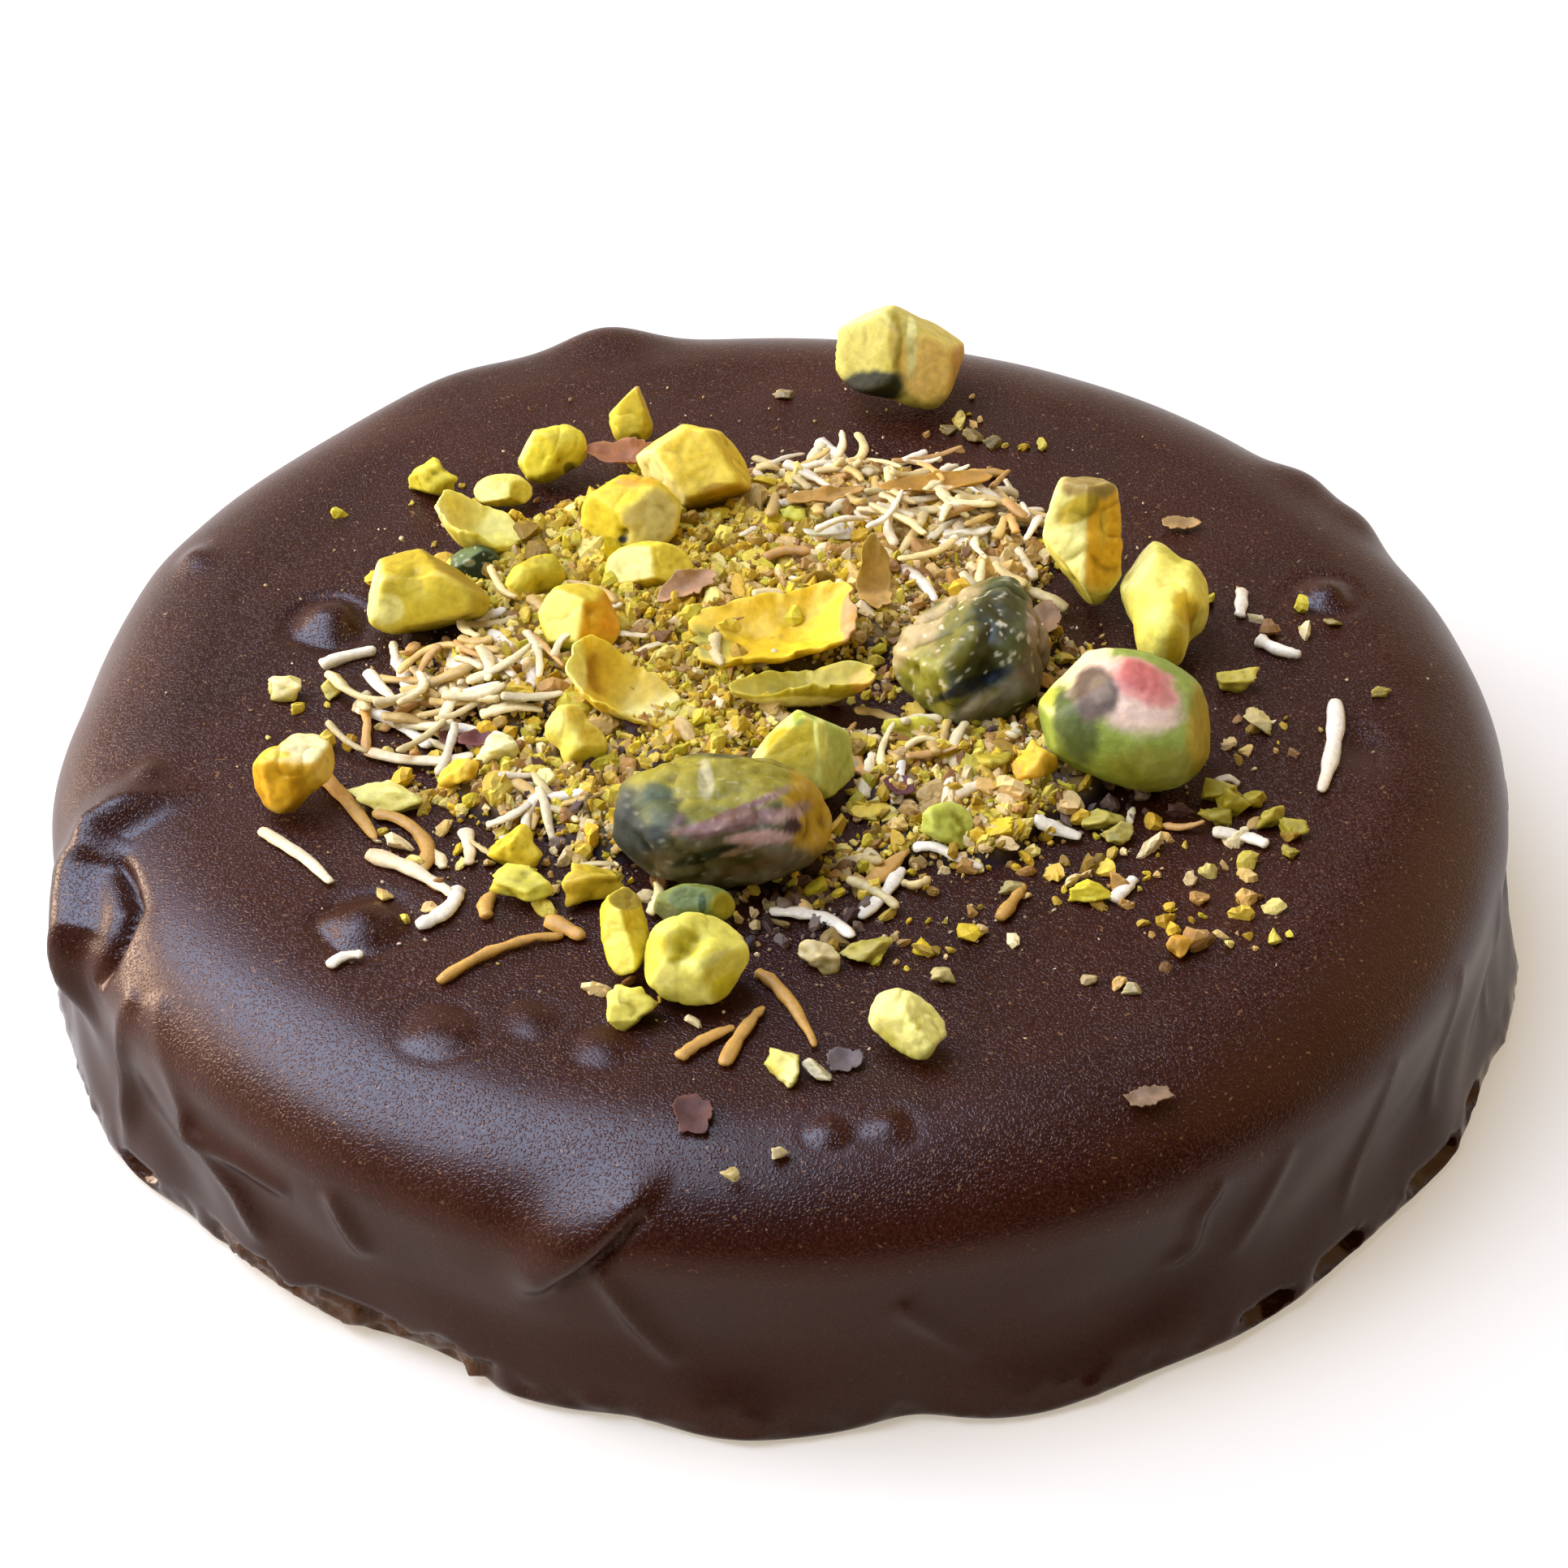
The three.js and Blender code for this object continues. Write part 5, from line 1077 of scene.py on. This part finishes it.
def scattered(count, random):
    """Places on the topping, as many as asked, likelier where the meal is thick and clear of the nuts."""
    x, y = random.uniform(-26, 26, (2, 40 * count))
    keep = (random.uniform(0, 1, x.shape) < meal_cover(x, y) ** 1.2) & ~under_nut(x, y)
    return x[keep][:count], y[keep][:count]


def thread_skins(paths, widths, flatness, random):
    """Threads: an uneven oval section carried along bowed paths [start, middle, end], with blunt closed
    ends."""
    rows, columns = 14, 8
    along = (1 - np.cos(np.linspace(0, math.pi, rows))) / 2
    along = along[None, :, None]
    start, middle, end = (paths[:, index][:, None, :] for index in range(3))
    line = (1 - along) ** 2 * start + 2 * along * (1 - along) * middle + along ** 2 * end
    line = line + 0.1 * noise(line, 1.6, 61)[..., None]
    heading = 2 * (1 - along) * (middle - start) + 2 * along * (end - middle)
    heading = heading / np.linalg.norm(heading, axis=-1, keepdims=True)
    side = np.cross(heading, [0.0, 0.0, 1.0])
    side = side / np.linalg.norm(side, axis=-1, keepdims=True)
    over = np.cross(side, heading)
    turn = np.arange(columns)[None, None, :] * 2 * math.pi / columns
    blunt = np.clip(1 - np.abs(2 * along - 1) ** 16, 0, 1) ** 0.35
    taper = 1 - random.uniform(0, 0.5, (len(paths), 1, 1)) * along ** 2
    section = blunt * taper * widths[:, None, None] / 2 * random.uniform(0.82, 1.18, (len(paths), rows, 1))
    section = section * random.uniform(0.8, 1.2, (len(paths), 1, columns))
    across = (section * np.cos(turn))[..., None] * side[:, :, None, :]
    upward = (section * flatness[:, None, None] * np.sin(turn))[..., None] * over[:, :, None, :]
    return line[:, :, None, :] + across + upward


def ground_height(x, y):
    """Top of whatever lies at a place: the coat or the meal."""
    return np.maximum(bed_height(x, y), coat_height(x, y))


def thread_paths(ends, lifts):
    """Bowed paths that lie on the topping: start, middle and end of each thread, lifted by its own pile
    height."""
    x0, y0, x1, y1, bow = np.array(ends, float).T
    start, end = np.stack([x0, y0], -1), np.stack([x1, y1], -1)
    side = np.stack([y0 - y1, x1 - x0], -1)
    side = side / np.linalg.norm(side, axis=-1, keepdims=True)
    middle = (start + end) / 2 + 2 * bow[:, None] * side
    plan = np.stack([start, middle, end], axis=1)
    ground = ground_height(plan[..., 0], plan[..., 1])
    return np.concatenate([plan, (ground + lifts)[..., None]], -1)


def tangle_ends(random):
    """Ends and lifts of fill-in threads: strewn over each zone along its heading, bowed either way, and
    piled up."""
    ends, lifts = [], []
    for x, y, half_x, half_y, count, heading, spread, shortest, longest, pile in THREAD_ZONES:
        middle_x = x + half_x * random.normal(0, 0.6, count)
        middle_y = y + half_y * random.normal(0, 0.6, count)
        turn = np.radians(heading + random.normal(0, spread, count))
        half = random.uniform(shortest, longest, count)
        step_x, step_y = half * np.cos(turn), half * np.sin(turn)
        bow = half * random.normal(0, 0.22, count)
        clear = ~under_nut(middle_x, middle_y)
        zone_ends = [middle_x - step_x, middle_y - step_y, middle_x + step_x, middle_y + step_y, bow]
        ends.append(np.stack(zone_ends, -1)[clear])
        heap = 0.2 + pile * random.uniform(0, 1, (count, 1))
        lifts.append((heap + 0.3 * random.normal(0, 1, (count, 3)))[clear])
    return np.concatenate(ends), np.maximum(np.concatenate(lifts), 0.15)


def make_coat():
    """The coat, in place of the biscuit's solid."""
    skins = coat_skin()
    make_piece("chocolate_coat", skins, coat_tints(skins), couverture, ["chocolate_alfajor"])


def make_nut(name, points, tints):
    """One pistachio piece in place of its solid."""
    make_piece("nut_" + name, points[None], tints[None], nut_flesh, ["pistachio_" + name])


def make_nuts():
    """Chopped pistachio pieces, each filling its own solid's box."""
    for seed, (name, nut) in enumerate(NUTS.items()):
        low, high = (np.array(corner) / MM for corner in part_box("pistachio_" + name))
        lobes, dents, rough = nut.get("lobes", ROUND), nut.get("dents", []), nut.get("rough", 0.6)
        points, weights = nut_skin((high - low) / 2, lobes, nut["facets"], dents, seed, rough)
        points = fitted(points, "pistachio_" + name)
        tints = facet_tints(weights, nut["flesh"], nut["facets"])
        tints = patched(tints, points, nut.get("patches", []), 100 + 10 * seed)
        make_nut(name, points, paint_light_shade_and_mottle(tints, points, nut.get("specks", 0), 100 + 10 * seed))


def make_shavings():
    """Thin shavings of nut, each in its own solid's box, lifted clear of the meal and waved a little."""
    for seed, (name, shaving) in enumerate(SHAVINGS.items()):
        shape = [shaving[key] for key in ("half", "square", "turn", "rims", "thick")]
        points = fitted(dish_skin(*shape, NUT_GRID, 0.1), "pistachio_" + name)
        points = points + np.array([0, 0, SHAVING_LIFT])
        flat = points * [1, 1, 0.2]
        points[..., 2] += 0.2 * noise(flat, 1.6, 90 + seed) + 0.1 * noise(flat, 0.6, 80)
        tints = np.broadcast_to(linear(shaving["flesh"]), points.shape)
        tints = patched(tints, points, shaving["patches"], 400 + 10 * seed)
        make_nut(name, points, paint_light_shade_and_mottle(tints, points, 0, 400 + 10 * seed))


def make_bits(random):
    """Small chopped bits of nut that stand out, each at its own place and of its own colour."""
    x, y, *sizes = np.array([bit[:5] for bit in BITS], float).T
    skins = crumb_skins(np.stack([x, y, 0 * x], -1), np.stack(sizes, -1), *BIT_GRID, random)
    skins[..., 2] += (ground_height(x, y) - skins[..., 2].min((1, 2)) - 0.15)[:, None, None]
    tints = []
    for seed, (points, bit) in enumerate(zip(skins, BITS)):
        tints.append(paint_light_shade_and_mottle(np.broadcast_to(linear(bit[5]), points.shape), points, 0, 500 + 10 * seed))
    make_piece("nut_bits", skins, np.array(tints), nut_flesh, [BED_NODE, COAT_NODE])


def make_bed():
    """The bed of meal, in place of the heap's solid."""
    skins = bed_skin()
    make_piece("meal_bed", skins, bed_tints(skins), meal, [BED_NODE])


def make_grains(random):
    """Grains of the meal, strewn over the bed: a dusting of fine ones and fewer that are as large as
    millet."""
    for name, count, smallest, largest, rows, columns in MEAL_LAYERS:
        x, y = scattered(count, random)
        sizes = random.uniform(smallest, largest, len(x))
        places = np.stack([x, y, ground_height(x, y) + 0.25 * sizes], -1)
        skins = crumb_skins(places, sizes, rows, columns, random)
        make_piece(name, skins, meal_tints(skins, random), meal, [BED_NODE], smooth=False)


def make_crumbs(random):
    """Coarse crumbs strewn over the bed, most of them small."""
    x, y = scattered(400, random)
    sizes = 0.65 + 0.65 * random.uniform(0, 1, len(x)) ** 2
    skins = crumb_skins(np.stack([x, y, ground_height(x, y) + 0.3 * sizes], -1), sizes, 9, 12, random)
    make_piece("coarse_crumbs", skins, meal_tints(skins, random), meal, [BED_NODE], smooth=False)


def make_threads(random):
    """Pastry threads: the ones that stand out in their own colours, and a tangle of shorter ones."""
    own_ends = [path for paths in THREADS.values() for path in paths]
    own_tints = [linear(colour) for colour, paths in THREADS.items() for path in paths]
    fill_ends, fill_lifts = tangle_ends(random)
    lifts = np.concatenate([np.full((len(own_ends), 3), 0.3), fill_lifts])
    paths = thread_paths(np.concatenate([np.array(own_ends, float), fill_ends]), lifts)
    widths = np.concatenate([
        random.uniform(0.75, 0.95, len(own_ends)), random.uniform(0.4, 0.75, len(fill_ends))])
    skins = thread_skins(paths, widths, random.uniform(0.4, 0.8, len(paths)), random)
    tints = spread_tints(skins, THREAD_COLOURS, random).copy()
    tints[:len(own_tints)] = np.array(own_tints)[:, None, None, :]
    tints = toasted(skins, tints, random)
    make_piece("pastry_threads", skins, tints, pastry, [BED_NODE, COAT_NODE])


def make_flakes():
    """Papery flakes of nut skin at their own places."""
    skins = []
    tints = []
    for x, y, half_length, half_width, turn, lift, rims, colour in FLAKES:
        shape = dish_skin((half_length, half_width), 2.2, turn, rims, 0.16, (21, 40), 0.22)
        shape = shape + np.array([x, y, float(ground_height(np.array(x), np.array(y))) + lift])
        shape[..., 2] += 0.15 * noise(shape, 0.7, 95)
        skins.append(shape)
        tints.append(mixed(linear(colour), 0.6 * linear(colour), 0.5 + 0.5 * noise(shape, 0.6, 96)))
    make_piece("skin_flakes", np.array(skins), np.array(tints), meal, [BED_NODE, COAT_NODE])


def make_strays(random):
    """Stray crumbs of nut and pastry on the bare coat, in loose patches, and darker crumbs of husk."""
    kinds = [("stray_crumbs", STRAYS, NUT_MEAL + PASTRY_MEAL), ("husk_crumbs", HUSKS, HUSK_MEAL)]
    for name, patches, colours in kinds:
        x = np.concatenate([middle_x + half * random.normal(0, 0.7, count)
                            for middle_x, middle_y, half, count in patches])
        y = np.concatenate([middle_y + half * random.normal(0, 0.7, count)
                            for middle_x, middle_y, half, count in patches])
        sizes = 0.3 + 0.7 * random.uniform(0, 1, len(x)) ** 2
        skins = crumb_skins(np.stack([x, y, ground_height(x, y) + 0.2 * sizes], -1), sizes, 7, 10, random)
        tints = spread_tints(skins, colours, random)
        make_piece(name, skins, tints, meal, [BED_NODE, COAT_NODE], smooth=False)


def make_dust(random):
    """Fine pale dust that has rolled off the topping on to the coat."""
    count = 700
    angle = random.uniform(0, 2 * math.pi, count)
    radius = np.minimum(17 + 6.5 * np.abs(random.normal(0, 1, count)), 36)
    x, y = radius * np.cos(angle), radius * np.sin(angle)
    sizes = random.uniform(0.08, 0.24, count)
    places = np.stack([x, y, ground_height(x, y) + 0.05], -1)
    skins = crumb_skins(places, sizes, 4, 4, random)
    tints = spread_tints(skins, ["#b89f7c", "#8f7560", "#d9c9a6", "#a98a4c"], random)
    make_piece("nut_dust", skins, tints, meal, [COAT_NODE])


def make_floor():
    """Plain pale floor, level with the underside: a light table, whose own glow keeps the shadows faint."""
    reach = 2.5
    level = cad_box[0][2] - 0.02 * MM
    corners = [(-reach, -reach, level), (reach, -reach, level), (reach, reach, level), (-reach, reach, level)]
    mesh = bpy.data.meshes.new("floor")
    mesh.from_pydata(corners, [], [(0, 1, 2, 3)])
    material, tree = new_material("pale_floor")
    shader = add_node(tree, "BsdfPrincipled", {
        "Base Color": (0.52, 0.52, 0.52, 1), "Roughness": 0.9, "Emission Color": (1, 0.88, 0.72, 1),
        "Emission Strength": 0.4})
    add_node(tree, "OutputMaterial", {"Surface": shader.outputs["BSDF"]})
    mesh.materials.append(material)
    floor = bpy.data.objects.new("floor", mesh)
    bpy.context.scene.collection.objects.link(floor)


def make_world():
    """Studio surround: white behind and beside the object, dimmer overhead, and a dark room on the near
    side."""
    world = bpy.data.worlds.new("studio")
    bpy.context.scene.world = world
    world.use_nodes = True
    tree = world.node_tree
    tree.nodes.clear()
    place = add_node(tree, "TexCoord").outputs["Generated"]
    height, behind = (
        add_node(tree, "VectorMath", {0: place, 1: way}, operation="DOT_PRODUCT").outputs["Value"]
        for way in ((0.25, 0, 1), (-0.62, 0.78, 0)))
    wall = add_node(tree, "MapRange", {"Value": behind, "From Min": -0.35, "From Max": 0.35, "To Min": 0.015,
                                       "To Max": 0.85}, interpolation_type="SMOOTHSTEP").outputs["Result"]
    calm = add_node(tree, "MapRange", {"Value": height, "From Min": 0.48, "From Max": 0.7, "To Min": 1.0,
                                       "To Max": 0.1}, interpolation_type="SMOOTHSTEP").outputs["Result"]
    light = add_node(tree, "Math", {0: wall, 1: calm}, operation="MULTIPLY").outputs["Value"]
    sky = add_node(tree, "Background", {"Color": (*linear("#f9e2cd"), 1), "Strength": light})
    add_node(tree, "OutputWorld", {"Surface": sky.outputs["Background"]})


def make_light(name, direction, distance, size, power, colour, gleams=True, brightens=True):
    """A square soft light that looks at the object from a direction, its distance and size in metres. One
    that doesn't gleam only brightens, as a fill behind a crossed polariser does; one that doesn't
    brighten only gleams."""
    light = bpy.data.lights.new(name, "AREA")
    light.shape = "SQUARE"
    light.size = size
    light.energy = power
    light.color = linear(colour)
    lamp = bpy.data.objects.new(name, light)
    from_middle = unit(direction)
    lamp.location = from_middle * distance
    lamp.visible_glossy = gleams
    lamp.visible_diffuse = brightens
    flat = math.hypot(from_middle[0], from_middle[1])
    lamp.rotation_euler = (math.atan2(flat, from_middle[2]), 0, math.atan2(from_middle[0], -from_middle[1]))
    bpy.context.scene.collection.objects.link(lamp)


def make_camera():
    """Camera of the reference view: 240 mm away, looking down at 39 degrees on a point inside the
    biscuit."""
    target_height = 7.7 * MM
    distance = 240 * MM
    camera = bpy.data.cameras.new("camera")
    camera.lens = 98.2
    camera.sensor_width = 36
    camera.shift_x = 0.0036
    camera.shift_y = 0.0072
    camera.clip_start = 0.01
    eye = bpy.data.objects.new("camera", camera)
    sine, cosine = math.sin(CAMERA_ELEVATION), math.cos(CAMERA_ELEVATION)
    eye.location = (0, -distance * cosine, target_height + distance * sine)
    eye.rotation_euler = (math.pi / 2 - CAMERA_ELEVATION, 0, 0)
    bpy.context.scene.collection.objects.link(eye)
    bpy.context.scene.camera = eye


COAT_NODE = "chocolate_alfajor"
BED_NODE = "crumb_and_thread_bed"

couverture = chocolate_material()
nut_flesh = crumbly_material("chopped_pistachio", 0.6, 0.45, 0.1, 0.3)
meal = crumbly_material("nut_meal", 0.7, 0.3, 0.05, 0.1)
pastry = crumbly_material("baked_pastry_thread", 0.55, 0.3, 0.04, 0.1)

make_coat()
make_nuts()
make_shavings()
make_bed()
make_grains(np.random.default_rng(11))
make_crumbs(np.random.default_rng(12))
make_bits(np.random.default_rng(17))
make_threads(np.random.default_rng(13))
make_flakes()
make_strays(np.random.default_rng(16))
make_dust(np.random.default_rng(15))
make_floor()
make_world()
make_light("key_softbox", (-0.44, 0.1, 0.89), 0.8, 0.7, 9.5, "#e2eaff")
make_light("left_window", (-0.9, 0.38, 0.24), 0.9, 0.4, 11.0, "#ffedd8")
make_light("left_fill", (-0.85, -0.4, 0.4), 0.9, 0.5, 3.2, "#fff6e6", gleams=False)
make_light("warm_fill", (0.85, 0.2, 0.5), 1.0, 1.1, 4.0, "#ffd69c")
make_light("front_fill", (0.1, -0.8, 0.6), 1.0, 0.8, 1.2, "#fff6e8", gleams=False)
make_light("gleam_panel", (-0.48, 0.08, 0.87), 0.8, 0.68, 28.0, "#7ab8ff", brightens=False)
make_camera()
bpy.context.scene.view_settings.view_transform = "Standard"
